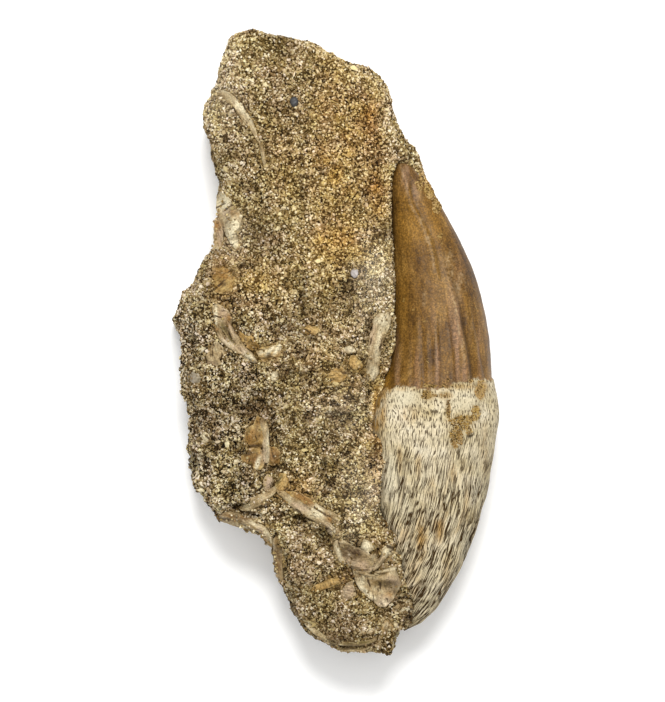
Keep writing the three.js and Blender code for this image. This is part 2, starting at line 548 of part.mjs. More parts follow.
addPiece("matrix", fromSolid(bodies[0]), 0x9c8a68);
addPiece("tooth", toothSkin(0), 0x9a6b3f);
for (const scrap of scraps) {
  addPiece(scrap.name, skinOf(scrap, 0), scrap.color);
}

export default group;
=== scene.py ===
# A rooted mosasaur tooth in its block of phosphate sandstone, lying on its ground back on a pale
# studio floor. Shapes are worked out in millimetres and stored in metres.
import math

import bpy
import numpy as np
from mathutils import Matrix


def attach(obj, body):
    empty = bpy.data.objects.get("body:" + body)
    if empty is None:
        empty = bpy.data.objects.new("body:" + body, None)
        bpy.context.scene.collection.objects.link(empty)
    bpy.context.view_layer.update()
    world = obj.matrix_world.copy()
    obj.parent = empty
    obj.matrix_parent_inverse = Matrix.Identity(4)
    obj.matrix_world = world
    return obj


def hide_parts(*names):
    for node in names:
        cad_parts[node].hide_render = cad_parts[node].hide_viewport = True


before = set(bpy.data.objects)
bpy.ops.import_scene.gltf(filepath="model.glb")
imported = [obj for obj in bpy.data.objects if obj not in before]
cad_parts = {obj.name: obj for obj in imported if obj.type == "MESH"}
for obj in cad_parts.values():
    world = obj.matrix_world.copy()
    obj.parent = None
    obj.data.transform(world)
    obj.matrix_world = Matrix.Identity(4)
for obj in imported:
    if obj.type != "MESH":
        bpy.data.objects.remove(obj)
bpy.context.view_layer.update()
mm = 0.001
print("frame loaded:", len(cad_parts), "nodes")

# Small tools for numbers


def smoothStep(low, high, x):  # 0 below low, 1 above high, an S curve between
    t = np.clip((x - low) / (high - low), 0, 1)
    return t * t * (3 - 2 * t)


def softRamp(x, width):  # 0 for negative x and x for positive x, the bend rounded over a width
    return 0.5 * (x + np.hypot(x, width))


def readTable(table, key):  # (key, value) pairs with straight lines between them
    keys, values = np.array(sorted(table), float).T
    return np.interp(key, keys, values)


def alongPath(points, share):  # the point at each share of a path's length
    points = np.array(points, float)
    run = np.append(0, np.cumsum(np.linalg.norm(np.diff(points, axis=0), axis=1)))
    return np.stack([np.interp(share * run[-1], run, column) for column in points.T], -1)


def blurred(values, reach):  # a bell-weighted mean along the first axis, ends held
    steps = np.arange(-3 * reach, 3 * reach + 1)
    weights = np.exp(-0.5 * (steps / max(reach, 1)) ** 2)
    weights /= weights.sum()
    padded = np.concatenate([values[:1]] * (3 * reach) + [values] + [values[-1:]] * (3 * reach))
    return sum(w * padded[k:k + len(values)] for k, w in enumerate(weights))


def blurredMap(values, reach):  # the same mean along both axes
    return blurred(blurred(values, reach).T, reach).T


# Smooth noise from -1 to 1: a random number at each corner of a lattice with cells of the given
# size in mm, blended through the cell by a quintic curve. Octaves add halved cells at half weight.
def cloudNoise(points, size, seed, octaves=1):
    total, weight = 0.0, 1.0
    for octave in range(octaves):
        place = points * (2 ** octave) / np.array(size) + 31.7 * (seed + 7 * octave)
        cell = np.floor(place).astype(np.int64)
        part = place - cell
        part = part ** 3 * (part * (part * 6 - 15) + 10)
        for corner in range(8):
            bits = np.array([corner & 1, corner >> 1 & 1, corner >> 2 & 1])
            key = ((cell + bits) * np.array([73856093, 19349663, 83492791])).sum(-1)
            key = (key ^ (key >> 13)) * 1274126177 + seed * 668265263
            key = ((key ^ (key >> 16)) * 2246822519) & 0x7FFFFFFF
            share = np.where(bits, part, 1 - part).prod(-1)
            total = total + weight * share * (key / 0x3FFFFFFF - 1)
        weight *= 0.5
    return total / (2 - 2 * weight)


# Where points lie in an oval turned by some degrees: their distances from its middle along its
# length and across it, as shares of its half-length and half-width.
def ovalPlace(x, y, cx, cy, long, wide, turn=0):
    c, d = math.cos(math.radians(turn)), math.sin(math.radians(turn))
    return ((x - cx) * c + (y - cy) * d) / long, ((y - cy) * c - (x - cx) * d) / wide


# The strongest of some ovals at each point. Each one's share is its strength times a bell: e to
# the power of minus its squared distance, which a higher power makes flatter with a sharper edge.
def ovalShare(x, y, ovals, power):
    share = np.zeros(np.shape(x))
    for *place, strength in ovals:
        u, v = ovalPlace(x, y, *place)
        share = np.maximum(share, strength * np.exp(-(u * u + v * v) ** power))
    return share


# The share of each entry of a table of stains and painted shade at each point: its ovals, times 1 plus 0.8
# of a noise.
def stainAndShadeTable(points, table, power, size, seed, octaves):
    shares = {}
    for index, (name, ovals) in enumerate(table.items()):
        broken = 1 + 0.8 * cloudNoise(points, size, seed + index, octaves)
        shares[name] = np.clip(ovalShare(*points[:, :2].T, ovals, power) * broken, 0, 1)
    return shares


# Small tools for meshes


def nodePoints(name):  # the corners of a CAD node, in mm
    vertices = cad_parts[name].data.vertices
    points = np.empty(len(vertices) * 3)
    vertices.foreach_get("co", points)
    return points.reshape(-1, 3) / mm


def flatPlaces(xy):  # places on the plan as points at height 0
    return np.append(xy, 0 * xy[..., :1], -1)


def withPoles(first, rings, last):  # the values of rings in the order of a closed skin's points
    return np.concatenate([[first], rings.reshape(-1, *np.shape(first)), [last]])


# A closed skin from rings of points: a fan from the first pole, quads from ring to ring, and a fan
# to the last pole, turned so that the faces point outwards.
def closedSkin(poleA, rings, poleB):
    rows, columns = rings.shape[:2]
    points = np.concatenate([[poleA], rings.reshape(-1, 3), [poleB]])
    here = np.arange(columns)
    after = (here + 1) % columns
    start = 1 + np.arange(rows)[:, None] * columns
    quads = np.stack([start[:-1] + here, start[1:] + here, start[1:] + after, start[:-1] + after], -1)
    quads = quads.reshape(-1, 4)
    fanA = np.stack([np.zeros(columns, int), 1 + here, 1 + after], -1)
    fanB = np.stack([start[-1] + after, start[-1] + here, np.full(columns, len(points) - 1)], -1)
    a, b, c, d = (points[quads[:, k]] for k in range(4))
    volume = (np.cross(c - a, d - b) * (a + b + c + d)).sum()
    if volume < 0:
        quads, fanA, fanB = quads[:, ::-1], fanA[:, ::-1], fanB[:, ::-1]
    return points, [quads, fanA, fanB]


# A mesh in metres from points in mm, with its attributes, as a piece that replaces a CAD node.
def makePiece(name, points, faceSets, attributes, material, node, smooth=True):
    corners = np.concatenate([faces.ravel() for faces in faceSets])
    sizes = np.concatenate([np.full(len(faces), faces.shape[1]) for faces in faceSets])
    mesh = bpy.data.meshes.new(name)
    mesh.vertices.add(len(points))
    mesh.vertices.foreach_set("co", (points * mm).astype(np.float32).ravel())
    mesh.loops.add(len(corners))
    mesh.loops.foreach_set("vertex_index", corners.astype(np.int32))
    mesh.polygons.add(len(sizes))
    mesh.polygons.foreach_set("loop_start", (np.cumsum(sizes) - sizes).astype(np.int32))
    mesh.polygons.foreach_set("use_smooth", np.full(len(sizes), smooth))
    mesh.update(calc_edges=True)
    for key, values in attributes.items():
        kind = "FLOAT" if values.ndim == 1 else "FLOAT_VECTOR"
        field = mesh.attributes.new(key, kind, "POINT").data
        field.foreach_set("value" if values.ndim == 1 else "vector", values.astype(np.float32).ravel())
    mesh.materials.append(material)
    piece = bpy.data.objects.new(name, mesh)
    bpy.context.scene.collection.objects.link(piece)
    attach(piece, "root")
    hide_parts(node)
    print(name, "made:", len(points), "points")


def gridNormals(rings):  # unit normals of a grid of rings that close on themselves
    along = np.gradient(rings, axis=0)
    around = np.roll(rings, -1, axis=1) - np.roll(rings, 1, axis=1)
    normals = np.cross(along, around)
    return normals / np.maximum(np.linalg.norm(normals, axis=-1, keepdims=True), 1e-9)


ceiling = {"start": 26.6, "room": 0.8}  # mm


def underCeiling(z):  # heights above the start are drawn in, and never reach start plus room
    over = np.maximum(0, z - ceiling["start"])
    return np.minimum(z, ceiling["start"]) + ceiling["room"] * over / (ceiling["room"] + over)


# A map over the plan: its cells in mm, the place of its first corner, its number of cells, and the
# height that marks an empty cell.
plan = {"cell": 0.25, "corner": np.array([-36.0, -66.0]), "shape": (288, 528), "empty": -99.0}


# The highest point in each cell. Empty cells are filled from their neighbours, one ring of cells
# for each fill.
def heightMap(points, fills):
    cells = ((points[:, :2] - plan["corner"]) / plan["cell"]).astype(int)
    cells = np.clip(cells, 0, np.array(plan["shape"]) - 1)
    heights = np.full(plan["shape"], plan["empty"])
    np.maximum.at(heights, (cells[:, 0], cells[:, 1]), points[:, 2])
    for _ in range(fills):
        around = [np.roll(heights, step, axis) for step in (-1, 1) for axis in (0, 1)]
        heights = np.where(heights == plan["empty"], np.max(around, axis=0), heights)
    return heights


def readMap(heights, xy):  # straight blends between the middles of the four nearest cells
    place = (xy - plan["corner"]) / plan["cell"] - 0.5
    place = np.clip(place, 0, np.array(plan["shape"]) - 2.001)
    cell = place.astype(int)
    part = place - cell
    total = 0.0
    for bits in ((0, 0), (1, 0), (0, 1), (1, 1)):
        share = np.where(bits, part, 1 - part).prod(-1)
        total = total + share * heights[cell[..., 0] + bits[0], cell[..., 1] + bits[1]]
    return total


# Small tools for materials


def hexColour(text):  # an sRGB hex value as linear colour
    value = np.array([int(text[k:k + 2], 16) for k in (1, 3, 5)]) / 255
    linear = np.where(value <= 0.04045, value / 12.92, ((value + 0.055) / 1.055) ** 2.4)
    return (*linear, 1.0)


def perMm(size):  # the texture scale that gives a pattern this many mm across
    return 1 / (size * mm)


# Adds one node. A setting is a property of the node, or the default of the input with that name
# or number; "stops" are the (place, hex colour) pairs of a ramp. Links join outputs to inputs.
def addNode(tree, kind, settings=None, links=None):
    node = tree.nodes.new("ShaderNode" + kind)
    for key, value in (settings or {}).items():
        if key == "stops":
            for _ in range(len(value) - 2):
                node.color_ramp.elements.new(0.5)
            for stop, (place, colour) in zip(node.color_ramp.elements, value):
                stop.position, stop.color = place, hexColour(colour)
        elif isinstance(key, str) and hasattr(node, key):
            setattr(node, key, value)
        else:
            node.inputs[key].default_value = value
    for key, output in (links or {}).items():
        tree.links.new(output, node.inputs[key])
    return node


def newMaterial(name):  # an empty material, its tree, and the place on the object in metres
    material = bpy.data.materials.new(name)
    material.use_nodes = True
    tree = material.node_tree
    tree.nodes.clear()
    return material, tree, addNode(tree, "TexCoord").outputs["Object"]


# Lays tints over a colour one by one. A layer is the attribute that gives its share, how it mixes
# and its hex colour.
def tinted(tree, colour, layers):
    for name, mode, tint in layers:
        share = addNode(tree, "Attribute", {"attribute_name": name}).outputs["Fac"]
        colour = addNode(tree, "Mix", {"data_type": "RGBA", "blend_type": mode, 7: hexColour(tint)},
                         {0: share, 6: colour}).outputs[2]
    return colour


# Closes a material: its colour, its roughness, bumps of the given depth in mm, and the settings of
# its shader.
def finishMaterial(tree, colour, roughness, bump, depth, shader):
    dent = addNode(tree, "Bump", {"Distance": depth * mm, "Strength": 1.0}, {"Height": bump})
    surface = addNode(tree, "BsdfPrincipled", shader,
                      {"Base Color": colour, "Roughness": roughness, "Normal": dent.outputs[0]})
    addNode(tree, "OutputMaterial", None, {"Surface": surface.outputs[0]})


# Where the sand is stained, where painted shade darkens it and where it is lighter, as soft ovals on the
# plan: x, y, half-width, half-height, strength.
sandStainsAndShade = {
    "ochre": [
        (19, 31, 2.5, 5, 0.9), (8.4, -12, 1, 6, 1), (0, 36, 6, 22, 0.8), (0, 19, 7, 6, 0.9),
        (-10, 36, 5, 14, 0.35), (-16, 12, 7, 6, 0.5), (-14, -2, 4, 2.5, 0.5), (-8, 54, 5, 3, 0.3),
        (4, -6, 5, 5, 0.4), (8, -22, 2.5, 8, 0.6), (-4, -4, 6, 4, 0.35), (-8, -30, 5, 3, 0.5),
        (-22, 6, 3, 6, 0.5)],
    "rust": [
        (8.4, -12, 0.9, 6, 0.15), (9.4, -5, 0.8, 3, 0.3), (7, 42, 2.6, 7, 0.7), (8.5, 30, 2.4, 7, 0.65),
        (-22.5, 11, 2.2, 5, 0.5), (-15.5, -19, 2.5, 4, 0.6), (-8.5, -28, 3, 2.5, 0.4),
        (3, -47, 4, 3, 0.35), (9, -18, 1.5, 6, 0.25), (9, -40, 2, 3, 0.3), (-22.5, 24, 1.5, 3, 0.3)],
    "chalk": [
        (7.5, 12.5, 3.2, 6.5, 1), (5.5, -30, 3.5, 5.5, 0.85), (1, -13.5, 4, 2, 0.4),
        (3.5, -38, 2.5, 2, 0.4), (-22.5, 48, 3.5, 5, 0.5), (-20, 22, 3, 5, 0.35), (3, -13, 3, 4, 0.5),
        (-23, 56, 3, 4, 0.4), (6, -1, 2, 3, 0.3)],
    # painted shade: over the left flank, round the foot, in hollows and cracks, and beside the tooth
    "dusk": [
        (-20, -12, 7, 9, 0.45), (-19, -25, 6, 5, 0.45), (-8, -57, 5, 5, 0.8), (1, -59, 11, 2.6, 0.7),
        (15, -53, 2.5, 6, 0.8), (-26, 8, 3, 8, 0.6), (-26, -17, 4, 9, 0.6), (-8.5, -53, 2.5, 5, 0.6),
        (0, -60, 8, 2.5, 0.5), (8, -21.5, 1.4, 2.5, 0.6), (-9.5, -6, 2.5, 3, 0.6), (-15, 22, 4, 5, 0.45),
        (-28, -4, 3.5, 16, 0.45), (-26, -22, 4, 8, 0.45), (-16.5, -14, 5, 3.5, 0.95),
        (-18, -21, 4, 3, 0.6), (-6, -6, 3, 3, 0.5), (-10, -10, 4, 4, 0.35), (-23, -16, 5, 6, 0.35),
        (-5, -50, 5, 8, 0.35), (3, -56, 12, 5, 0.35), (13, -51, 2.6, 3, 0.8), (5, -41, 3, 2.4, 0.6),
        (10, 22, 2.2, 2.2, 0.7), (-17.7, 15.4, 2.5, 0.8, 0.8), (2, 11.5, 1.6, 0.8, 0.5),
        (-5, 1, 1.5, 0.8, 0.5), (-21, 8.3, 3, 1.2, 0.7), (-12.6, -25, 1.8, 1.2, 0.8),
        (-22, 36, 3, 4, 0.45), (-17, 29, 3, 3, 0.45), (-10, 58, 3, 3, 0.4), (-9, 47, 5, 5, 0.25),
        (-5, 7, 3, 3, 0.3), (2, 9, 3, 2.5, 0.35), (10, -36, 2, 2, 0.4), (-8, -40, 3, 3, 0.3),
        (-13, -17, 7, 5, 0.6), (-3, -17, 5, 4, 0.45), (-10, 3.5, 5, 3, 0.45), (-20, 3.5, 5, 3, 0.45),
        (-19, -31, 4, 3, 0.6), (-9, -50, 3, 4, 0.7), (-11, 61, 3, 3, 0.6), (-2, -56, 4, 4, 0.5)],
    "bright": [
        (0, 38, 4, 20, 0.7), (-1, 20, 8, 6, 0.9), (-14, 14, 5, 5, 0.8), (-18, 7, 3, 5, 0.4),
        (-14, -2, 4, 2.5, 0.8), (7, -4, 3, 6, 0.7), (6, 12, 4, 5, 0.4), (-12, -28, 4, 2, 0.5),
        (-2, 56, 4, 3, 0.8), (-18, -36, 5, 2, 0.6)],
}


# Crevices between the clumps of the lower block: where a noise 4 mm across crosses zero, broken up
# by a second one.
def crevices(points):
    line = np.exp(-(cloudNoise(points, 4.0, 90, 3) / 0.07) ** 2)
    return line * smoothStep(-0.1, 0.3, cloudNoise(points, 5.0, 91)) * smoothStep(20, 8, points[:, 1])


def stainAndShadeShares(points):  # the stains and painted shade, broken up by noise 3 mm across, painted shade along the crevices, and a hue
    shares = stainAndShadeTable(points, sandStainsAndShade, 1, 3.0, 60, 2)
    shares["dusk"] = np.maximum(shares["dusk"], 0.75 * crevices(points))
    shares["hue"] = np.clip(0.5 + 0.75 * cloudNoise(points, 3.2, 65, 3), 0, 1)
    return shares


# The colour of the sand, shared by the ground mass and the grains: a ramp from dark phosphate pellets
# through tan to worn quartz, lifted where bright is set, then a hue that changes every few mm, the stains,
# and painted shade in hollows, crevices and gaps and over the left flank and the foot.
def sandColour(tree, tone):
    bright = addNode(tree, "Attribute", {"attribute_name": "bright"}).outputs["Fac"]
    tone = addNode(tree, "Math", {"operation": "MULTIPLY_ADD", 1: 0.1}, {0: bright, 2: tone})
    base = addNode(tree, "ValToRGB", {"stops": [
        (0.0, "#1c1205"), (0.2, "#4d3d1f"), (0.42, "#947f5b"), (0.6, "#bbaa89"),
        (0.8, "#dbd0b5"), (1.0, "#f6f1e6")]}, {"Fac": tone.outputs[0]}).outputs[0]
    hue = addNode(tree, "Attribute", {"attribute_name": "hue"}).outputs["Fac"]
    hue = addNode(tree, "ValToRGB", {"stops": [
        (0.0, "#f2e6dc"), (0.5, "#f2ebd6"), (1.0, "#efe7bf")]}, {"Fac": hue}).outputs[0]
    base = addNode(tree, "Mix", {"data_type": "RGBA", "blend_type": "MULTIPLY", 0: 1.0},
                   {6: base, 7: hue}).outputs[2]
    # the last layer multiplies in the painted shade
    return tinted(tree, base, (("ochre", "MULTIPLY", "#f8e2ae"), ("rust", "MULTIPLY", "#ecc680"),
                               ("chalk", "SCREEN", "#5a5852"), ("dusk", "MULTIPLY", "#8c806e")))


# Phosphate sandstone, broken by hand and ground flat underneath. The eye sees a mass of sand grains
# with dark joints, and cut grains on the ground face.
def makeSandstone():
    material, tree, place = newMaterial("brokenPhosphateSandstone")
    grain = addNode(tree, "TexVoronoi", {"Scale": perMm(0.42), "Randomness": 1.0}, {"Vector": place})
    joint = addNode(tree, "TexVoronoi", {"feature": "DISTANCE_TO_EDGE", "Scale": perMm(0.42)},
                    {"Vector": place}).outputs["Distance"]
    fine = addNode(tree, "TexNoise", {"Scale": perMm(0.25), "Detail": 3.0}, {"Vector": place})
    split = addNode(tree, "SeparateColor", None, {"Color": grain.outputs["Color"]}).outputs[0]
    edge = addNode(tree, "MapRange", {"From Max": 0.22, "To Min": 0.05}, {"Value": joint}).outputs[0]
    tone = addNode(tree, "Math", {"operation": "MULTIPLY_ADD", 1: 0.55, 2: 0.05}, {0: split})
    tone = addNode(tree, "Math", {"operation": "MULTIPLY"}, {0: tone.outputs[0], 1: edge}).outputs[0]
    tone = addNode(tree, "Math", {"operation": "MULTIPLY_ADD", 1: 0.18, 2: 0.0},
                   {0: fine.outputs[0], 2: tone}).outputs[0]
    colour = sandColour(tree, tone)
    rough = addNode(tree, "MapRange", {"To Min": 0.95, "To Max": 0.7}, {"Value": edge}).outputs[0]
    finishMaterial(tree, colour, rough, edge, 0.12, {"Specular IOR Level": 0.06})
    return material


# Loose and cemented sand grains: rounded phosphate pellets and worn quartz, each of one tone, with
# a faint mottle. A little gloss gives the sparkle of the quartz.
def makeGrains():
    material, tree, place = newMaterial("wornSandGrains")
    mottle = addNode(tree, "TexNoise", {"Scale": perMm(0.3), "Detail": 2.0}, {"Vector": place})
    tone = addNode(tree, "Attribute", {"attribute_name": "tone"}).outputs["Fac"]
    tone = addNode(tree, "Math", {"operation": "MULTIPLY_ADD", 1: 0.3}, {
        0: mottle.outputs[0], 2: tone}).outputs[0]
    tone = addNode(tree, "Math", {"operation": "SUBTRACT", 1: 0.15}, {0: tone}).outputs[0]
    colour = sandColour(tree, tone)
    rough = addNode(tree, "MapRange", {"To Min": 0.9, "To Max": 0.6}, {"Value": tone}).outputs[0]
    finishMaterial(tree, colour, rough, mottle.outputs[0], 0.04, {"Specular IOR Level": 0.12})
    return material


# Fossil bone, broken and weathered: cream, fibrous along its length, with pinkish, olive and brown stains,
# painted shadow in its crevices and a painted highlight along its raised edges.
# The amber kind is iron-stained and a little glossier. The eye sees smooth warm shards
# among the coarse sand.
def makeBone(name, hexes, roughness):
    material, tree, place = newMaterial(name)
    cloud = addNode(tree, "TexNoise", {"Scale": perMm(1.6), "Detail": 4.0, "Roughness": 0.6},
                    {"Vector": place})
    grit = addNode(tree, "TexNoise", {"Scale": perMm(0.3), "Detail": 3.0}, {"Vector": place})
    flow = addNode(tree, "Attribute", {"attribute_name": "flow"}).outputs["Vector"]
    fibre = addNode(tree, "TexNoise", {"Scale": 2.2, "Detail": 4.0, "Roughness": 0.6},
                    {"Vector": flow}).outputs[0]
    base = addNode(tree, "ValToRGB", {"stops": [
        (0.34, hexes[0]), (0.5, hexes[1]), (0.64, hexes[2])]}, {"Fac": cloud.outputs[0]}).outputs[0]
    # edge is a painted highlight along the raised rims, broken creases and crests of the scraps
    # umber adds brown stain and painted shadow in crevices
    base = tinted(tree, base, (
        ("amber", "MIX", "#8a6431"), ("gold", "MIX", "#b3935a"), ("pink", "MIX", "#b39a7e"),
        ("cream", "MIX", "#d8cba8"), ("olive", "MIX", "#695a32"), ("umber", "MIX", "#47331c"),
        ("edge", "SCREEN", "#776b55")))
    crack = addNode(tree, "TexNoise", {"Scale": 1.1, "Detail": 3.0}, {"Vector": flow}).outputs[0]
    crack = addNode(tree, "MapRange", {"From Min": 0.41, "From Max": 0.36, "To Max": 0.9},
                    {"Value": crack}).outputs[0]
    base = addNode(tree, "Mix", {"data_type": "RGBA", 7: hexColour("#4a361c")},
                   {0: crack, 6: base}).outputs[2]
    dark = addNode(tree, "MapRange", {"From Min": 0.36, "From Max": 0.5, "To Min": 0.62,
                                      "To Max": 1.0}, {"Value": fibre}).outputs[0]
    speck = addNode(tree, "MapRange", {"From Min": 0.36, "From Max": 0.6, "To Min": 0.7,
                                       "To Max": 1.15}, {"Value": grit.outputs[0]}).outputs[0]
    shade = addNode(tree, "Math", {"operation": "MULTIPLY"}, {0: dark, 1: speck}).outputs[0]
    colour = addNode(tree, "Mix", {"data_type": "RGBA", "blend_type": "MULTIPLY", 0: 1.0},
                     {6: base, 7: shade}).outputs[2]
    rough = addNode(tree, "MapRange", {"To Min": roughness + 0.2, "To Max": roughness},
                    {"Value": shade}).outputs[0]
    finishMaterial(tree, colour, rough, shade, 0.1, {"Specular IOR Level": 0.2})
    return material


# Worn pebble: smooth, grey, with a fine mottle.
def makePebble():
    material, tree, place = newMaterial("wornPebble")
    mottle = addNode(tree, "TexNoise", {"Scale": perMm(0.5), "Detail": 4.0}, {"Vector": place})
    colour = addNode(tree, "ValToRGB", {"stops": [
        (0.35, "#7b6f58"), (0.65, "#9b8e76")]}, {"Fac": mottle.outputs[0]}).outputs[0]
    colour = tinted(tree, colour, (("dark", "MIX", "#31363d"), ("lilac", "MIX", "#b6b0b2")))
    rough = addNode(tree, "MapRange", {"To Min": 0.4, "To Max": 0.6},
                    {"Value": mottle.outputs[0]}).outputs[0]
    finishMaterial(tree, colour, rough, mottle.outputs[0], 0.05, {"Specular IOR Level": 0.4})
    return material


# The tooth: thin brown enamel over the crown, polished by the sea, with fine growth streaks and
# sand still stuck to it, and a bare root of fibrous bone with long slits. The eye sees satin
# caramel above a matt cream sponge.
def makeTooth():
    material, tree, place = newMaterial("fossilEnamelAndRoot")
    part = {name: addNode(tree, "Attribute", {"attribute_name": name}).outputs["Fac"] for name in
            ("root", "pit", "ochre", "sand", "pale", "rose", "gold", "deep", "white", "below")}
    lines = addNode(tree, "Attribute", {"attribute_name": "lines"}).outputs["Vector"]
    flow = addNode(tree, "Attribute", {"attribute_name": "flow"}).outputs["Vector"]
    drawnOut = addNode(tree, "Mapping", {"Scale": (0.34, 0.5, 1)}, {"Vector": flow}).outputs[0]
    for name, where, scale, detail in (
            ("cloud", place, perMm(6.0), 4.0), ("mottle", place, perMm(0.55), 5.0),
            ("grit", place, perMm(0.32), 2.0), ("blotch", place, perMm(1.8), 4.0),
            ("streak", lines, 0.8, 5.0), ("thinStreak", lines, 3.2, 3.0),
            ("dash", flow, 1.0, 1.0), ("vein", drawnOut, 1.0, 1.5)):
        part[name] = addNode(tree, "TexNoise", {"Scale": scale, "Detail": detail, "Roughness": 0.6},
                             {"Vector": where}).outputs[0]
    # sums and products of the parts: the dashes fade in the white collar, and the veins of the
    # root show in its lower half
    for name, operation, terms in (
            ("brown", "MULTIPLY_ADD", ("streak", 0.5, 0.0)),
            ("brown", "MULTIPLY_ADD", ("cloud", 0.7, "brown")),
            ("brown", "SUBTRACT", ("brown", 0.1)),
            ("dash", "MULTIPLY_ADD", ("white", 0.1, "dash")),
            ("dash", "MULTIPLY_ADD", ("below", 0.022, "dash")),
            ("dashDepth", "MULTIPLY_ADD", ("below", 0.08, 0.84)),
            ("vein", "SUBTRACT", ("vein", 0.5)), ("vein", "ABSOLUTE", ("vein",)),
            ("worn", "MULTIPLY_ADD", ("blotch", 2.0, -0.5)), ("worn", "MULTIPLY", ("worn", "below")),
            ("crumb", "MULTIPLY_ADD", ("grit", 0.6, "sand")),
            ("crumb", "MULTIPLY_ADD", ("blotch", 0.5, "crumb"))):
        numbers = {k: term for k, term in enumerate(terms) if not isinstance(term, str)}
        links = {k: part[term] for k, term in enumerate(terms) if isinstance(term, str)}
        part[name] = addNode(tree, "Math", {"operation": operation, **numbers}, links).outputs[0]
    # steps from one value to another: source, where it starts and ends, the values there
    for name, source, low, high, first, last in (
            ("crownMottle", "mottle", 0.34, 0.66, 0.78, 1.22),
            ("crownGrit", "grit", 0.42, 0.64, 0.76, 1.46),
            ("crownLines", "thinStreak", 0.38, 0.62, 0.9, 1.1),
            ("dusty", "mottle", 0.38, 0.6, 0.0, 1.0), ("crumbs", "crumb", 0.98, 1.1, 0.0, 0.85),
            ("rootMottle", "mottle", 0.35, 0.65, 0.88, 1.14),
            ("dashes", "dash", 0.449, 0.433, 0.0, 1.0), ("veins", "vein", 0.045, 0.025, 0.0, 1.0),
            ("worn", "worn", 0.0, 0.45, 0.0, 1.0),
            ("sandy", "mottle", 0.4, 0.56, 0.25, 1.0)):
        part[name] = addNode(tree, "MapRange", {"From Min": low, "From Max": high, "To Min": first,
                                                "To Max": last}, {"Value": part[source]}).outputs[0]
    # scuffed: pale scuffs, with the painted highlight along the ridges
    for name, first, second in (("scuffAndRidgeHighlight", "pale", "dusty"), ("sanded", "sand", "sandy"),
                                ("veins", "veins", "worn"), ("dashes", "dashes", "dashDepth"),
                                ("solidRoot", "rootMottle", "rootMottle")):
        part[name] = addNode(tree, "Math", {"operation": "MULTIPLY"},
                             {0: part[first], 1: part[second]}).outputs[0]
    part["slit"] = addNode(tree, "Math", {"operation": "MAXIMUM"},
                           {0: part["dashes"], 1: part["veins"]}).outputs[0]
    # each side is a ramp and then layers: share, mode, colour or a part that is multiplied in
    sides = {}
    for side, ramp, source, layers in (
            ("crown", [(0.36, "#4c3311"), (0.46, "#634519"), (0.54, "#6d4e20"), (0.66, "#83622e")],
             "brown", (("gold", "MIX", "#8c6524"), ("rose", "MIX", "#87674a"),
                       (1.0, "MULTIPLY", "crownMottle"), (1.0, "MULTIPLY", "crownLines"),
                       (1.0, "MULTIPLY", "crownGrit"), ("scuffAndRidgeHighlight", "MIX", "#a8906a"),
                       ("crumbs", "MIX", "#957a42"))),
            ("root", [(0.3, "#aa9871"), (0.45, "#c3b491"), (0.6, "#cdbfa0"), (0.75, "#d4cab1")],
             "cloud", (("white", "MIX", "#c3b99d"), ("ochre", "MIX", "#a67c35"),
                       (1.0, "MULTIPLY", "rootMottle"), ("slit", "MIX", "#38260b"),
                       ("sanded", "MIX", "#7e6a3e"), ("pit", "MIX", "#4a3719")))):
        colour = addNode(tree, "ValToRGB", {"stops": ramp}, {"Fac": part[source]}).outputs[0]
        for share, mode, tint in layers:
            settings = {"data_type": "RGBA", "blend_type": mode}
            links = {6: colour}
            (settings if isinstance(share, float) else links)[0] = (
                share if isinstance(share, float) else part[share])
            (settings if tint[0] == "#" else links)[7] = (
                hexColour(tint) if tint[0] == "#" else part[tint])
            colour = addNode(tree, "Mix", settings, links).outputs[2]
        sides[side] = colour
    colour = addNode(tree, "Mix", {"data_type": "RGBA"}, {
        0: part["root"], 6: sides["crown"], 7: sides["root"]}).outputs[2]
    # the deep share darkens the colour: painted shade, dark grooves and cracks
    colour = addNode(tree, "Mix", {"data_type": "RGBA", 7: hexColour("#1d140a")},
                     {0: part["deep"], 6: colour}).outputs[2]
    # bumps in mm: fine lines and mottle on the enamel, slits on the root
    crownBump = addNode(tree, "Math", {"operation": "MULTIPLY_ADD", 1: 0.35, 2: 0.5},
                        {0: part["crownLines"]}).outputs[0]
    crownBump = addNode(tree, "Math", {"operation": "MULTIPLY_ADD", 1: 0.4},
                        {0: part["crownMottle"], 2: crownBump}).outputs[0]
    rootBump = addNode(tree, "Math", {"operation": "SUBTRACT"},
                       {0: part["solidRoot"], 1: part["slit"]}).outputs[0]
    bump = addNode(tree, "Mix", {"data_type": "FLOAT"},
                   {0: part["root"], 2: crownBump, 3: rootBump}).outputs[0]
    rough = addNode(tree, "Mix", {"data_type": "FLOAT", 2: 0.4, 3: 0.8}, {0: part["root"]}).outputs[0]
    rough = addNode(tree, "Math", {"operation": "MULTIPLY_ADD", 1: 0.2},
                    {0: part["mottle"], 2: rough}).outputs[0]
    finishMaterial(tree, colour, rough, bump, 0.15, {"Specular IOR Level": 0.22})
    return material


materials = {
    "sandstone": makeSandstone(),
    "grains": makeGrains(),
    "tooth": makeTooth(),
    "pale_bone": makeBone("weatheredFossilBone", ("#86704a", "#a28c66", "#b9a882"), 0.6),
    "amber_bone": makeBone("ironStainedFossilBone", ("#775a2a", "#977640", "#b0965e"), 0.5),
    "pebble": makePebble(),
}
print("materials made")

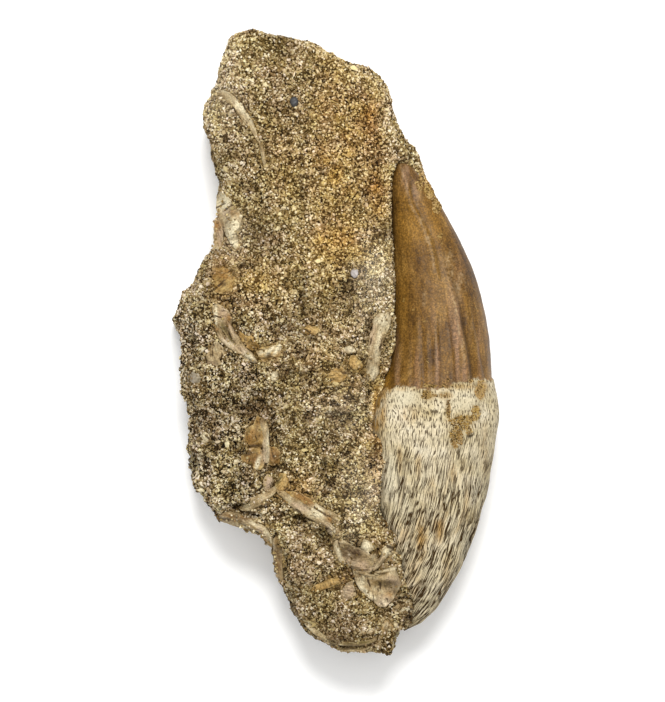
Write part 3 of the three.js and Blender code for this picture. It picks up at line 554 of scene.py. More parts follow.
# The block of sandstone
block = {
    # the rim in stretches whose left and right sides face each other, from the top pole down
    "rim": [
        ([(-20.7, 60.8), (-21.4, 60), (-21.7, 59), (-22.3, 57), (-23.1, 55.2), (-23.3, 53.1),
          (-23.9, 51.4), (-24.8, 49.9), (-24.9, 48.2)],
         [(-20.7, 60.8), (-20, 61.5), (-18.7, 62.1), (-16.3, 62.7), (-15, 62.5), (-12.5, 61.6),
          (-10, 61.2), (-7.5, 60.6), (-5, 60.1), (-3, 59.2), (-1.5, 58.4), (0, 57.7), (2.3, 56.8),
          (4.5, 55.8), (6.5, 55.3), (8, 54.2), (9.5, 52.7)], 82),
        ([(-24.9, 48.2), (-25.8, 47.3), (-26.3, 45.8), (-26.4, 44.1), (-26.2, 42.9), (-25.5, 41.4),
          (-25.1, 39.7), (-24.7, 36.7), (-24, 34.7), (-23.45, 32.3)],
         [(9.5, 52.7), (10.6, 50.8), (11.5, 48.6), (11.4, 47.6), (12.2, 45), (12.6, 43.8), (13.5, 42.5),
          (15, 40.1), (16.2, 39.3), (17.2, 37.3), (17.8, 35), (18.2, 33.5)], 55),
        ([(-23.45, 32.3), (-23.7, 29.4), (-23.6, 26.5), (-24.1, 23.5), (-24.2, 21.9), (-24.5, 19.3),
          (-25.1, 18.3), (-26.1, 17.7), (-27, 16.1), (-27.7, 14.3), (-28.7, 12), (-30.5, 10.2),
          (-31.5, 7.6), (-32.2, 5.8), (-32.9, 4.9)],
         [(18.2, 33.5), (20, 30.3), (20.6, 28), (21, 25), (23, 20), (25, 14), (26.5, 8), (27.5, 3)], 80),
        ([(-32.9, 4.9), (-32.1, 3.5), (-31.2, 1.1), (-30.9, -1.8), (-30.9, -4.8), (-30.7, -7.7),
          (-30.6, -10.5), (-29.6, -11.5), (-29.6, -13), (-28.8, -14.7), (-29.3, -16.5), (-29.3, -19.4),
          (-29.5, -21.2), (-29.05, -23.6), (-28.75, -26), (-28.45, -27.7), (-27.55, -29.3),
          (-26.05, -31.6), (-25, -33), (-23.8, -34.1), (-23.75, -35.25)],
         [(27.5, 3), (28, -4), (28.6, -10), (29.2, -14), (29, -20), (28, -26), (26.4, -32),
          (25.5, -35)], 102),
        ([(-23.75, -35.25), (-22, -35.6), (-19.9, -36.7), (-17.2, -37.9), (-15.1, -39.1), (-13.6, -40.1),
          (-13.15, -40.4), (-12.7, -42.8), (-12.2, -45.2)],
         [(25.5, -35), (24, -39), (22.5, -42), (21.2, -44.5)], 37),
        ([(-12.2, -45.2), (-11.2, -47.8), (-10, -49.7), (-8.5, -53.6), (-7, -56), (-5.2, -58.1),
          (-3.7, -59.3), (-2.2, -60.2), (-1, -60.7), (1.1, -61.6), (5, -61.6), (8.3, -61.7),
          (10.1, -62.3), (10.6, -62.4)],
         [(21.2, -44.5), (19, -48.5), (17, -52), (15.4, -55), (14.6, -56.8), (12.95, -57.3),
          (12.65, -58.1), (12.05, -59), (11.9, -60.8), (11, -62.3), (10.6, -62.4)], 74),
    ],
    "faceLevel": 26.0, "bank": 4.0, "ledgeLevel": 11, "tipLedge": 21.3, "lowerDrop": 2.7,
    "taper": 0.0009, "taperFrom": 20, "footSlope": 0.22, "footFrom": -54,
    "flankSlope": 0.6, "flankEase": 0.3, "softEdge": 2,
    "cornerReach": 3.5, "cornerPower": 2.6, "inset": 0.45,
    # how many columns each stretch of a row has
    "columns": {"corner": 12, "face": 100, "wall": 12, "ledge": 34, "backCorner": 7, "back": 26},
    # the height of the widest outline on each side, by y
    "leftLevel": [(63, 9), (-24, 8), (-36, 5), (-42, 6), (-48, 13), (-63, 15)],
    "rightLevel": [(63, 12), (34, 10), (24, 7), (3, 6.5), (-35, 6), (-50, 10), (-63, 14)],
    # the face slopes away to the left of this line, and the tooth lies right of the cover edge
    "flank": [
        (62, -21), (52, -19), (45, -17.5), (35, -15.5), (28, -20), (18, -24.5), (8, -24), (0, -22.5),
        (-5, -25), (-14, -21), (-24, -19), (-33, -17), (-40, -12), (-63, -8)],
    "cover": [
        (63, -8), (55, 2), (45, 8), (36.4, 12.2), (33.8, 10.8), (30, 10.5), (25.9, 10.6), (18.7, 10.8),
        (12, 11.2), (5.8, 11.3), (2.6, 11.7), (-0.65, 11.5), (-3, 10.8), (-7.1, 9.6), (-10, 9),
        (-14.4, 7.7), (-17, 7.4), (-18.4, 7.7), (-19.4, 9.8), (-22, 9.7), (-26, 8.9), (-33.5, 8.1),
        (-36.6, 9.8), (-38.6, 12.8), (-44.8, 12.6), (-48.3, 13.8), (-51, 15), (-53.4, 16.6), (-55, 17.5),
        (-56.5, 19.3), (-58, 24), (-63, 24)],
    "ridge": [
        (30, -45), (14, -45), (4, -44), (1, -38), (-4, -33.5), (-10, -29.5), (-14.5, -31), (-24, -33),
        (-33, -33)],  # the bone ridge, by x
    # hollows, cracks and mounds: x, y, half-length, half-width, turn in degrees, depth
    "hollows": [
        (-16.5, -13.8, 6, 2.6, -5, 1.5), (-20.5, -20.8, 2.6, 1.6, 0, 1.1), (-6, -7, 3, 2.5, 0, 0.8),
        (-24, -10, 3, 4, 0, 0.7), (2, 9, 3, 2.4, 0, 0.6), (-17, 29, 4, 3, 0, 0.6),
        (-22, 37, 2.5, 3, 0, 0.6), (-9.5, -36, 3.4, 1.6, -10, 0.9), (-11, -12, 4, 3, 0, 0.6),
        (-4, -18, 6, 5, 0, -0.9), (-20, -28, 5, 3, 0, -0.8), (-13, 12, 6, 5, 0, -0.8),
        (-6, -42, 3, 4, 0, -0.6), (3, -54, 5, 3, 0, -0.6), (-8, 55, 6, 4, 0, -0.5),
        (0, 26, 7, 10, 0, -0.5), (6, 10, 3, 6, 10, -0.6), (-27, -16, 2.5, 4, 0, -0.6),
        (-9, -24, 4, 3, 0, -0.5), (5, -27, 3, 6, 0, -0.5), (-26, 2, 3, 4, 0, -0.5),
        (4.2, -41.1, 2.7, 1.4, -20, 1.3), (-12.6, -25.2, 1.7, 1, -25, 1.3),
        (13.7, -54.4, 0.8, 0.8, 0, 1.1), (13.4, -50.7, 2.1, 1.6, 0, 1.8), (-17.7, 15.3, 1.6, 0.5, 5, 1.1),
        (-21.9, 8.3, 1.9, 0.6, -8, 1.1), (2, 11.5, 1.1, 0.4, 10, 0.8), (-5, 1, 1.6, 0.35, -22, 0.8),
        (-4.5, 53.9, 1.9, 0.35, -35, 0.7), (-6.7, 51.2, 0.8, 0.3, -70, 0.7),
        (-20.3, 5.8, 0.7, 0.6, 0, 0.8), (10, 21.8, 1.8, 0.9, 20, 0.6), (-9.5, -33.5, 2.6, 0.4, -5, 0.8),
        (-11, -30.6, 1, 0.35, 0, 0.7), (-11.8, -25.9, 0.6, 0.7, 0, 0.9), (11.5, -43, 1.4, 0.7, 20, 0.9),
        (0.6, -48.2, 0.9, 0.5, 0, 0.7), (0.5, -44.2, 0.5, 0.9, 0, 0.6), (-4.8, -21.6, 1.4, 0.6, 0, 0.6),
        (-3.2, -16.3, 1.2, 0.5, 0, 0.6), (-11, -19.8, 1, 0.6, 0, 0.6), (-19, -18.6, 0.9, 0.5, 0, 0.6)],
    # bumps on the broken surface: cell size, height, seed
    "lumps": [(9, 1, 1), (4.5, 0.8, 2), (2, 0.5, 3), (1, 0.24, 4)],
    # how strong they are, by y
    "relief": [(63, 0.8), (18, 0.85), (6, 1.2), (-12, 1.6), (-40, 1.45), (-63, 1.4)],
}


# Each hollow is an oval that deepens smoothly towards its middle; one of negative depth is a mound.
def hollowDepth(x, y):
    deepest, raised = np.zeros(np.shape(x)), np.zeros(np.shape(x))
    for *place, depth in block["hollows"]:
        share = 1 - smoothStep(0.2, 1.2, np.hypot(*ovalPlace(x, y, *place)))
        deepest = np.maximum(deepest, depth * share)
        raised = np.minimum(raised, depth * share)
    return deepest + raised


# The face: a level plane, less a taper at the top, a slope on the left flank, a step below the bone
# ridge and a roll-off at the foot; right of the cover edge it drops as a wall to the ledge under
# the tooth, and the ledge climbs back to the face round the crown's tip.
def faceHeight(x, y):
    z = block["faceLevel"] - block["taper"] * np.maximum(0, y - block["taperFrom"]) ** 2
    ease = block["flankEase"] * smoothStep(28, 33, y) * (1 - smoothStep(46, 52, y))
    steep = block["flankSlope"] - ease
    z = z - steep * softRamp(readTable(block["flank"], y) - x, block["softEdge"])
    z = z - block["lowerDrop"] * smoothStep(0, 4, readTable(block["ridge"], x) - y)
    z = z - block["footSlope"] * softRamp(block["footFrom"] - y, block["softEdge"])
    beside = x - readTable(block["cover"], y)
    # the face banks down to the tooth beside the root, less where a tongue of sand lies over it
    tongue = 1 - 0.8 * smoothStep(-18.4, -20, y) * smoothStep(-37, -33, y)
    z = z - block["bank"] * tongue * smoothStep(-5.5, 0.2, beside) * smoothStep(
        3, -7, y) * smoothStep(-47, -40, y)
    climb = smoothStep(23, 33, y)
    ledge = block["ledgeLevel"] * (1 - climb) + block["tipLedge"] * climb
    meet = smoothStep(34.5, 38, y)
    ledge = ledge * (1 - meet) + z * meet
    drop = smoothStep(0, 0.8, beside)
    return z * (1 - drop) + ledge * drop


# A row across the block between two facing rim points: up a rounded left corner (a superellipse),
# over the face with extra columns at the wall, down the right corner and back underneath.
def rockRings():
    left, right = [], []
    for index, (leftSide, rightSide, rows) in enumerate(block["rim"]):
        share = np.arange(1, rows + 1) / rows
        if index == 0:
            share = share ** 1.5
        if index == len(block["rim"]) - 1:
            share = (1 - (1 - share) ** 1.5)[:-1]
        left.append(alongPath(leftSide, share))
        right.append(alongPath(rightSide, share))
    left, right = np.concatenate(left), np.concatenate(right)
    loop = np.concatenate([left, right[::-1]])
    way = np.roll(loop, -2, 0) - np.roll(loop, 2, 0)
    loop = loop + block["inset"] * np.stack([-way[:, 1], way[:, 0]], -1) / np.hypot(*way.T)[:, None]
    left, right = loop[:len(left)], loop[:len(left) - 1:-1]
    row = right - left
    length = np.hypot(*row.T)
    insets = []
    for side in (left, right):
        way = blurred(np.gradient(side, axis=0), 6)
        sine = np.abs(way[:, 0] * row[:, 1] - way[:, 1] * row[:, 0]) / (np.hypot(*way.T) * length)
        sine = np.maximum(0.4, blurred(sine, 4))
        insets.append(np.minimum(block["cornerReach"] / sine / length, 0.42))
    middle = 0.5 * (left + right)
    poles = [np.array(block["rim"][0][0][0]), np.array(block["rim"][-1][0][-1])]
    depthIn = np.minimum(*[np.hypot(*(middle - pole).T) for pole in poles])
    power = block["cornerPower"]
    rise = (1 - (1 - np.minimum(1, depthIn / block["cornerReach"])) ** power) ** (1 / power)

    def placeOn(shares):  # x and y of each row at these shares of its length
        return left[:, :1] + row[:, :1] * shares, left[:, 1:] + row[:, 1:] * shares

    # where each row meets the wall beside the tooth
    tries = np.linspace(0.25, 0.85, 200)
    x, y = placeOn(tries)
    wall = tries[np.argmin(np.abs(x - readTable(block["cover"], y)), axis=1)]
    wall = blurred(wall, 2)
    brim = np.minimum(1.1 / length, 0.1)
    first, last = insets[0], 1 - insets[1]
    wallFrom, wallTo = wall - 0.2 * brim, wall + brim

    def corner(steps):  # how far in and how far up the steps of a quarter superellipse are
        a = (np.arange(steps) + 0.001) / steps * 0.5 * math.pi
        return 1 - np.cos(a) ** (2 / power), np.sin(a) ** (2 / power)

    def between(a, b, steps):  # even steps from a to just before b
        return a[:, None] + (b - a)[:, None] * np.arange(steps) / steps

    columns = block["columns"]
    frontIn, frontUp = corner(columns["corner"])
    backIn, backUp = corner(columns["backCorner"])
    shares = np.concatenate([
        insets[0][:, None] * frontIn, between(first, wallFrom, columns["face"]),
        between(wallFrom, wallTo, columns["wall"]), between(wallTo, last, columns["ledge"]),
        1 - insets[1][:, None] * frontIn[::-1], 1 - insets[1][:, None] * backIn[1:],
        between(last, first, columns["back"]), insets[0][:, None] * backIn[:0:-1]], 1)
    onTop = columns["face"] + columns["wall"] + columns["ledge"]
    lift = np.concatenate([frontUp, np.ones(onTop), frontUp[::-1], -backUp[1:],
                           -np.ones(columns["back"]), -backUp[:0:-1]])
    x, y = placeOn(shares)
    level = (1 - shares) * readTable(block["leftLevel"], y)
    level = level + shares * readTable(block["rightLevel"], y)
    back = -1.3 + 0.0018 * (x + 2) ** 2 + 0.0006 * (y + 2) ** 2
    far = np.where(lift > 0, faceHeight(x, y) - hollowDepth(x, y), back)
    z = level + (far - level) * np.abs(lift) * rise[:, None]
    return np.stack([x, y, z], -1), np.abs(lift) * rise[:, None]


smoothRock, offRim = rockRings()
faceColumn = block["columns"]["corner"] + block["columns"]["face"] // 2
rockNormals = gridNormals(smoothRock)
rockNormals *= np.sign((rockNormals[:, faceColumn, 2]).mean())  # outwards
rockPoints, rockNormals, offRim = smoothRock.reshape(-1, 3), rockNormals.reshape(-1, 3), offRim.ravel()


# The lumps of the given sizes: a noise of each size times its height, along the normals. They grow
# down the block, and the broad ones fade towards the rim and on the wall beside the tooth.
def lumps(sizes):
    total = 0
    x, y = rockPoints[:, :2].T
    relief = readTable(block["relief"], y)
    wall = smoothStep(-1.2, -0.2, x - readTable(block["cover"], y)) * smoothStep(38, 34, y)
    ends = 0.25 + 0.75 * smoothStep(0, 4, np.minimum(63 - y, y + 62.6))
    for size, height, seed in sizes:
        fade = relief * ends
        if size > 1.5:
            fade = fade * (0.35 + 0.65 * smoothStep(0, 0.8, offRim)) * (1 - 0.7 * wall)
        noise = cloudNoise(rockPoints, size, seed)
        clump = np.clip(relief - 0.85, 0, 0.6)  # rounded clumps with creases between them
        noise = noise * (1 - clump) + (0.9 - 2.8 * np.abs(noise)) * clump * (size < 5)
        total = total + height * fade * noise
        if size == 2:
            total = total - 0.7 * crevices(rockPoints) * (offRim > 0.9)
    return total[:, None] * rockNormals


upwards = rockNormals[:, 2] > 0.15
broadRock = rockPoints + lumps(block["lumps"][:2])
broadLevel = heightMap(broadRock[upwards], 20)
softLevel = blurredMap(broadLevel, 3)
print("rock shaped")

# The tooth
tooth = {
    "rows": 520, "frontColumns": 150, "backColumns": 36,
    # the powers of the ovals that its rows are
    "crownPower": 2.05, "rootPower": 2.5, "rootPowerLeft": 4.0,
    # cells of the root's pits, grooves and hollows, across and along its fibres, and depths, in mm
    "pitSize": (0.42, 2.8, 1), "grooveSize": (0.7, 4.5, 1), "hollowSize": (1.1, 9.0, 1),
    "rootRise": 0.22, "pitDepth": 0.3, "hollowDepth": 0.22, "dashWidth": 0.2,
    "neck": [
        (5, -8.6), (10.5, -9), (14, -8.7), (18, -9.2), (22, -8.9), (25, -7.8), (28, -7.4),
        (33, -7.6)],  # y of the enamel's edge, by x
    # ridges of the enamel: (y, x) points, height, half-width, paleness (of a painted highlight on the left
    # flank, which also sets painted shade on the right flank)
    "ridges": [([(36.5, 12.9), (33, 14), (28, 15), (22.2, 17.9), (20.2, 18.8), (17, 19.5),
                 (12.8, 20.4)], 0.25, 0.7, 0.5),
               ([(13.5, 22.3), (10.8, 23.2), (7.5, 24), (4, 24.6), (0, 25.4), (-5, 26.1),
                 (-9, 26.8)], 0.45, 0.75, 0.85),
               ([(5, 20.1), (-5, 20.3), (-9, 20.3)], 0.2, 0.55, 0.45),
               ([(5, 16.5), (-5, 16.8), (-9, 16.9)], 0.18, 0.5, 0.3),
               ([(2, 13.4), (-8, 12.1)], 0.16, 0.45, 0.35),
               ([(6, 26.8), (-4, 28.6), (-8, 29.3)], 0.16, 0.45, 0.35),
               ([(7, 22), (-3, 23.2), (-9, 23.4)], 0.12, 0.5, 0.2),
               ([(3, 18.4), (-9, 18.6)], 0.1, 0.4, 0.15),
               ([(1, 14.9), (-9, 14.6)], 0.1, 0.4, 0.15)],
    # cracks across the crown: y, x from, x to, depth
    "cracks": [
        (27.7, 11.5, 17.3, 0.1), (26.4, 11.5, 14.5, 0.06), (17.2, 12, 20.5, 0.08), (17.6, 21, 24, 0.05),
        (31.8, 12, 15, 0.05)],
    # patches: x, y, half-width, half-height, strength
    "ochre": [
        (9.4, -11, 0.9, 6, 1), (9.3, -8.3, 1.2, 2.4, 1), (8.5, -12.4, 1.2, 3.6, 1),
        (8.2, -16.2, 0.9, 1.8, 1), (10.6, -9.2, 1.2, 0.9, 0.8), (17, -39, 0.9, 4.5, 0.85),
        (20.6, -36.5, 1.1, 3.2, 0.8), (14.5, -14.2, 2.1, 1.7, 0.35), (16.5, -24, 0.7, 3, 0.4),
        (29.5, -21, 1, 5, 0.3), (22.2, -14, 0.5, 2.6, 0.5), (23.4, -25.8, 0.6, 1.8, 0.8),
        (25, -15.6, 2.2, 1.6, 0.3), (24.2, -18.5, 0.9, 2.2, 0.3), (12.8, -23, 0.5, 3, 0.4),
        (19.5, -29, 0.4, 2.5, 0.4), (26, -32, 0.5, 4, 0.35), (15.5, -47, 1.6, 5, 0.4),
        (22, -46, 0.8, 5, 0.35), (18.3, -10.3, 1.2, 1.1, 0.95), (21.8, -10.4, 1.5, 0.8, 0.7),
        (29, -9.3, 1.1, 1.7, 0.9), (13, -38, 2, 2.5, 0.4), (14, -9.1, 3, 0.5, 0.4),
        (24, -8.7, 5, 0.6, 0.5)],
    "sand": [
        (9.2, -11, 0.8, 6, 0.4), (18.3, -10.3, 1.4, 1.2, 0.85), (21.7, -10.3, 1.3, 0.8, 0.7),
        (28.6, -9.6, 1.3, 1.7, 0.9), (24.9, -15.8, 2.5, 1.5, 0.95), (24, -18.6, 1.7, 2.4, 0.9),
        (26.4, -17.6, 0.8, 1.4, 0.7), (27, -14.9, 1.4, 0.8, 0.8), (27.9, -13.8, 1, 1.8, 0.9),
        (22.4, -13.2, 0.6, 2.6, 0.8), (20, -8.5, 7, 0.5, 0.55), (27, -7.6, 4, 0.5, 0.6),
        (22.8, -26, 0.5, 1.6, 0.5), (11.5, -48, 2, 5, 0.4), (22.3, -6.3, 1.4, 2.4, 0.54),
        (18.2, -3, 1, 4.5, 0.45), (13.6, -6, 0.7, 3, 0.4), (27.4, 8.5, 1.5, 3.4, 0.5),
        (28.4, -3, 1.3, 4, 0.42), (20.9, 19.8, 1.2, 3.2, 0.55), (18, 4, 1.2, 3, 0.42),
        (15.6, 6.6, 0.5, 0.5, 0.58), (13.6, 8.4, 0.7, 1.2, 0.55), (20.6, 14, 1.2, 2, 0.36),
        (13, 20, 1.5, 7, 0.2), (17.6, 33.4, 1, 1.9, 0.95), (19, 30.4, 1.5, 2.4, 1),
        (20.2, 27.4, 1.1, 2, 1), (16.6, 31.4, 1.3, 2.2, 0.55), (10.5, -38.5, 1.6, 1.6, 0.9),
        (12.6, -43, 1, 2.4, 0.5), (9.8, -36, 0.9, 1.4, 0.7)],
    "gold": [(15, 24, 3, 6, 0.5), (19, 24, 2, 5, 0.4), (13, 8, 2, 9, 0.3), (10.2, -6, 0.9, 3, 0.9)],
    "rose": [
        (14.2, 33.5, 1, 3, 0.8), (16, 30, 0.8, 2.5, 0.5), (12.4, -4, 0.5, 6, 0.7),
        (16.2, -5.5, 0.6, 4.5, 0.75), (20.3, -4.5, 0.5, 6, 0.85), (24.2, 1, 1, 9, 0.85),
        (25.6, -6, 0.7, 3, 0.7), (28.7, -2, 0.5, 6, 0.6), (19.4, 5, 0.5, 4, 0.35), (22.8, 7, 0.9, 6, 0.4),
        (24.5, 14, 1.2, 3.5, 0.3)],
    "white": [
        (22, -10.6, 9, 1, 0.5), (14, -10.9, 2.6, 2, 0.8), (25, -12, 3, 1.4, 0.5), (29, -25, 1.5, 9, 0.3),
        (26, -40, 1.1, 3, 0.6), (12, -32, 1.5, 5, 0.4), (10.8, -25.5, 1.5, 5, 0.8),
        (13.6, -31.5, 2, 4, 0.6), (17.5, -33.5, 8, 7, 0.2), (17.5, -27, 1, 3, 0.5)],
    "scuff": [
        (24, 12, 1.8, 3.5, 0.8), (22.5, 16, 1.2, 2.5, 0.6), (17.5, 9, 0.7, 1.6, 0.5),
        (26.5, 4, 0.8, 3, 0.4), (16, 29, 1.2, 3, 0.35), (13.6, 34, 0.8, 2.5, 0.6),
        (18.4, 21.4, 0.6, 2.4, 0.8), (17.2, 24, 0.6, 1.6, 0.5)],
    # deep: painted shade on the crown's strip beside the rock wall, its right edge and the root's lower
    # edges, with small dark spots and grooves
    "deep": [
        (25.4, -10.5, 0.22, 0.18, 1), (26.4, -18.4, 0.55, 0.4, 0.95), (15.7, -12.3, 0.3, 0.15, 0.6),
        (27.9, -14.4, 0.7, 1, 0.3), (24.6, -21, 0.4, 1.2, 0.35), (12.6, -27, 0.3, 1.3, 0.7),
        (13.6, -29, 0.22, 2.4, 0.6), (17.4, -36.5, 0.25, 2, 0.5), (21.3, -26, 0.3, 1.2, 0.4),
        (11.3, 25, 0.8, 12, 0.3), (11.8, 6, 0.8, 10, 0.25), (27.5, 12, 0.8, 8, 0.2),
        (26.4, -43, 1, 5, 0.35), (22.6, -50, 1.6, 2.5, 0.35), (12.6, -46.5, 1, 5, 0.3)],
}


def patchShare(name, x, y):  # the strongest of the tooth's patches of that name
    return ovalShare(x, y, tooth[name], 1.5)


# The CAD tooth's slices give the outline: for each height along it, the left and right edges and
# the front and back. They are read at even steps and rounded by a bell-weighted mean.
cadPoints = nodePoints("tooth")
steps = np.unique(cadPoints[:, 1].round(2))
slices = np.array([[s.min(0)[0], s.max(0)[0], s.min(0)[2], s.max(0)[2]] for s in
                   (cadPoints[np.abs(cadPoints[:, 1] - step) < 0.02] for step in steps)])
along = 0.5 - 0.5 * np.cos(np.linspace(0.012, math.pi - 0.012, tooth["rows"]))
along = 0.25 * along + 0.75 * np.linspace(0.0015, 0.9985, tooth["rows"])
rowY = steps[-1] + (steps[0] - steps[-1]) * along
fromEnd = np.minimum(steps[-1] - rowY, rowY - steps[0])[:, None]
edges = np.stack([np.interp(rowY, steps, column) for column in slices.T], -1)
hold = smoothStep(0, 4, fromEnd)
edges = edges * (1 - hold) + blurred(edges, 7) * hold
left, right, low, high = edges.T
middle, half = 0.5 * (left + right), 0.5 * (right - left)
level, depth = 0.5 * (low + high), 0.5 * (high - low)
angle = np.concatenate([np.linspace(0, math.pi, tooth["frontColumns"], endpoint=False),
                        np.linspace(math.pi, 2 * math.pi, tooth["backColumns"], endpoint=False)])
cosine, sine = np.cos(angle), np.sin(angle)
power = np.where(cosine < 0, tooth["rootPowerLeft"], tooth["rootPower"])
power = power + (tooth["crownPower"] - power) * smoothStep(-12, -5, rowY)[:, None]
across = np.sign(cosine) * np.abs(cosine) ** (2 / power)
out = np.sign(sine) * np.abs(sine) ** (2 / power)
toothX = middle[:, None] + half[:, None] * across
toothZ = level[:, None] + depth[:, None] * out
toothY = np.repeat(rowY[:, None], len(angle), 1)
smoothTooth = np.stack([toothX, toothY, toothZ], -1)
toothNormals = gridNormals(smoothTooth)
toothNormals *= np.sign(toothNormals[:, tooth["frontColumns"] // 2, 2].mean())

# Fields over the tooth's surface: the share of root, the flow of the root's fibres (parallel to
# its curved right edge), the lines of the crown (they meet at the tip), pits and grooves that lie
# along the flow, ridges, cracks and patches.
neckNoise = 0.6 * cloudNoise(smoothTooth * [1, 0, 1], 1.8, 11, 3)
neckNoise += 0.6 * cloudNoise(smoothTooth, 0.7, 12, 2)
rootShare = smoothStep(0.25, -0.25, toothY - readTable(tooth["neck"], toothX) - neckNoise)
crownShare = 1 - rootShare
front = toothZ > level[:, None]
rightEdge = np.interp(np.minimum(rowY, -14), rowY[::-1], right[::-1])
# the way round the tooth from the middle of its front, in mm, with its break underneath
turn = np.where(angle > 1.5 * math.pi, angle - 2 * math.pi, angle)
stepsRound = np.hypot(toothX - np.roll(toothX, 1, 1), toothZ - np.roll(toothZ, 1, 1))
way = np.cumsum(stepsRound, 1)
way = way[:, [tooth["frontColumns"] // 2]] - way + stepsRound.sum(1)[:, None] * (turn < 0)
flowX = middle[:, None] + way - 0.95 * (rightEdge[:, None] - right.max())
flow = np.stack([flowX + 0.3 * cloudNoise(smoothTooth, 3.0, 20), toothY, 0 * toothX], -1)
below = smoothStep(-9, -42, toothY)
patchy = cloudNoise(smoothTooth, 5.0, 23, 2)
small = cloudNoise(flow, tooth["pitSize"], 21, 2)
long = cloudNoise(flow, tooth["grooveSize"], 22, 2)
hollow = smoothStep(0.1, 0.6, cloudNoise(flow, tooth["hollowSize"], 25, 2))
pits = smoothStep(0.5, 0.76, small + 0.2 * below + 0.2 * patchy)
grooves = smoothStep(0.4, 0.62, long + 0.34 * below - 0.3 + 0.15 * patchy)
collar = smoothStep(-14, -10, toothY + 1.2 * patchy)  # the smoother band below the crown
pits = np.clip(np.maximum(pits, grooves) * (1 - 0.93 * collar), 0, 1) * rootShare
height = tooth["rootRise"] * rootShare - tooth["pitDepth"] * pits
height -= tooth["hollowDepth"] * rootShare * hollow * below
height += rootShare * 0.25 * cloudNoise(smoothTooth, 5.0, 24)
height += 0.3 * rootShare * below * cloudNoise(flow, (0.9, 7.0, 1), 36, 2)
paleShare = patchShare("scuff", toothX, toothY) * np.clip(
    0.4 + 1.6 * cloudNoise(smoothTooth, (0.7, 1.8, 1), 31, 3), 0, 1)
ridgeShade = 0
# Each ridge stands up as a bump; a pale band on its left flank is a painted highlight and a dark band
# right of it is painted shade.
for line, tall, wide, pale in tooth["ridges"]:
    top, foot = line[0][0], line[-1][0]
    away = toothX - readTable(line, toothY) - 0.12 * cloudNoise(smoothTooth * [0, 1, 0], 2.5, 33, 2)
    span = smoothStep(top + 1.5, top - 3, toothY) * smoothStep(foot - 1, foot + 1, toothY)
    span = span * crownShare * front
    slope = away / wide / np.where(away < 0, 1.5, 0.6)
    height += tall * span * (np.exp(-slope ** 2) - 0.5 * np.exp(-((away - 1.3 * wide) / wide) ** 2))
    broken = np.clip(0.5 + 1.1 * cloudNoise(smoothTooth, (0.5, 2.2, 1), 26, 3), 0, 1)
    paleShare = np.maximum(paleShare, pale * np.exp(-(2.2 * away / wide + 0.8) ** 2) * span * broken)
    ridgeShade = np.maximum(ridgeShade, pale * np.exp(-(1.5 * away / wide - 1.5) ** 2) * span)
# painted shade: the deep patches and the shaded right flank of each ridge, with the dark cracks below
shadeAndCrackShare = np.maximum(patchShare("deep", toothX, toothY), 0.5 * ridgeShade)
crackBend = 0.3 * cloudNoise(smoothTooth * [1, 0, 0], 1.8, 27, 2)
for crackY, fromX, toX, deep in tooth["cracks"]:
    span = smoothStep(fromX - 0.5, fromX + 0.5, toothX) * smoothStep(toX + 0.7, toX - 0.7, toothX)
    line = np.exp(-((toothY - crackY - crackBend) / 0.15) ** 2) * span * crownShare
    height -= deep * line
    shadeAndCrackShare = np.maximum(shadeAndCrackShare, 4.5 * deep * line * np.clip(
        0.6 + cloudNoise(smoothTooth, 1.0, 34), 0, 1))
height += crownShare * (0.07 * cloudNoise(smoothTooth, (2.5, 9, 2.5), 28, 2)
                        + 0.05 * cloudNoise(smoothTooth, 1.4, 32, 2))
toothRings = smoothTooth + toothNormals * (height * smoothStep(0, 2.5, fromEnd))[..., None]
broken = cloudNoise(smoothTooth, 0.9, 29, 3)
fields = {
    "root": rootShare, "pit": 0.5 * pits, "below": smoothStep(-12, -40, toothY) * np.clip(
        1 + 0.7 * patchy, 0, 1.3), "pale": paleShare * crownShare,
    "sand": patchShare("sand", toothX, toothY) * np.clip(0.8 + 1.0 * broken, 0, 1),
    "ochre": np.maximum(
        patchShare("ochre", toothX, toothY) * np.clip(0.85 + 1.0 * cloudNoise(
            flow, (0.6, 2.0, 1), 30, 2), 0, 1),
        0.3 * below * smoothStep(0.25, 0.7, cloudNoise(flow, (1.2, 9, 1), 37, 2))),
    "gold": patchShare("gold", toothX, toothY), "rose": patchShare("rose", toothX, toothY)
    * np.clip(0.7 + cloudNoise(toothRings, (0.7, 4, 1), 35, 2), 0, 1),
    "white": patchShare("white", toothX, toothY), "deep": np.clip(shadeAndCrackShare, 0, 1),
}
for key in ("sand", "ochre", "gold", "rose", "white", "deep"):
    fields[key] = fields[key] * front
fields = {key: withPoles(value[0].mean(), value, value[-1].mean())
          for key, value in fields.items()}
# the dashes are 1 mm long at the neck and 3.2 mm at the foot
dashLength = 1.0 + 2.2 * smoothStep(-11, -29, rowY)
alongRoot = np.cumsum(np.gradient(rowY) / dashLength)[:, None] + 0 * toothX
places = {"flow": np.stack([flow[..., 0] / tooth["dashWidth"], alongRoot, flow[..., 2]], -1),
          "lines": np.stack([turn / math.pi * 22 + 0 * toothX, toothY * 0.12, toothZ * 0.05], -1)}
for key, place in places.items():
    fields[key] = withPoles(place[0, 0], place, place[-1, 0])
tips = [toothRings[k].mean(0) for k in (0, -1)]
tips[0][1], tips[1][1] = steps[-1], steps[0]
points, faceSets = closedSkin(tips[0], toothRings, tips[1])
makePiece("tooth_crown_and_root", points, faceSets, fields, materials["tooth"], "tooth")
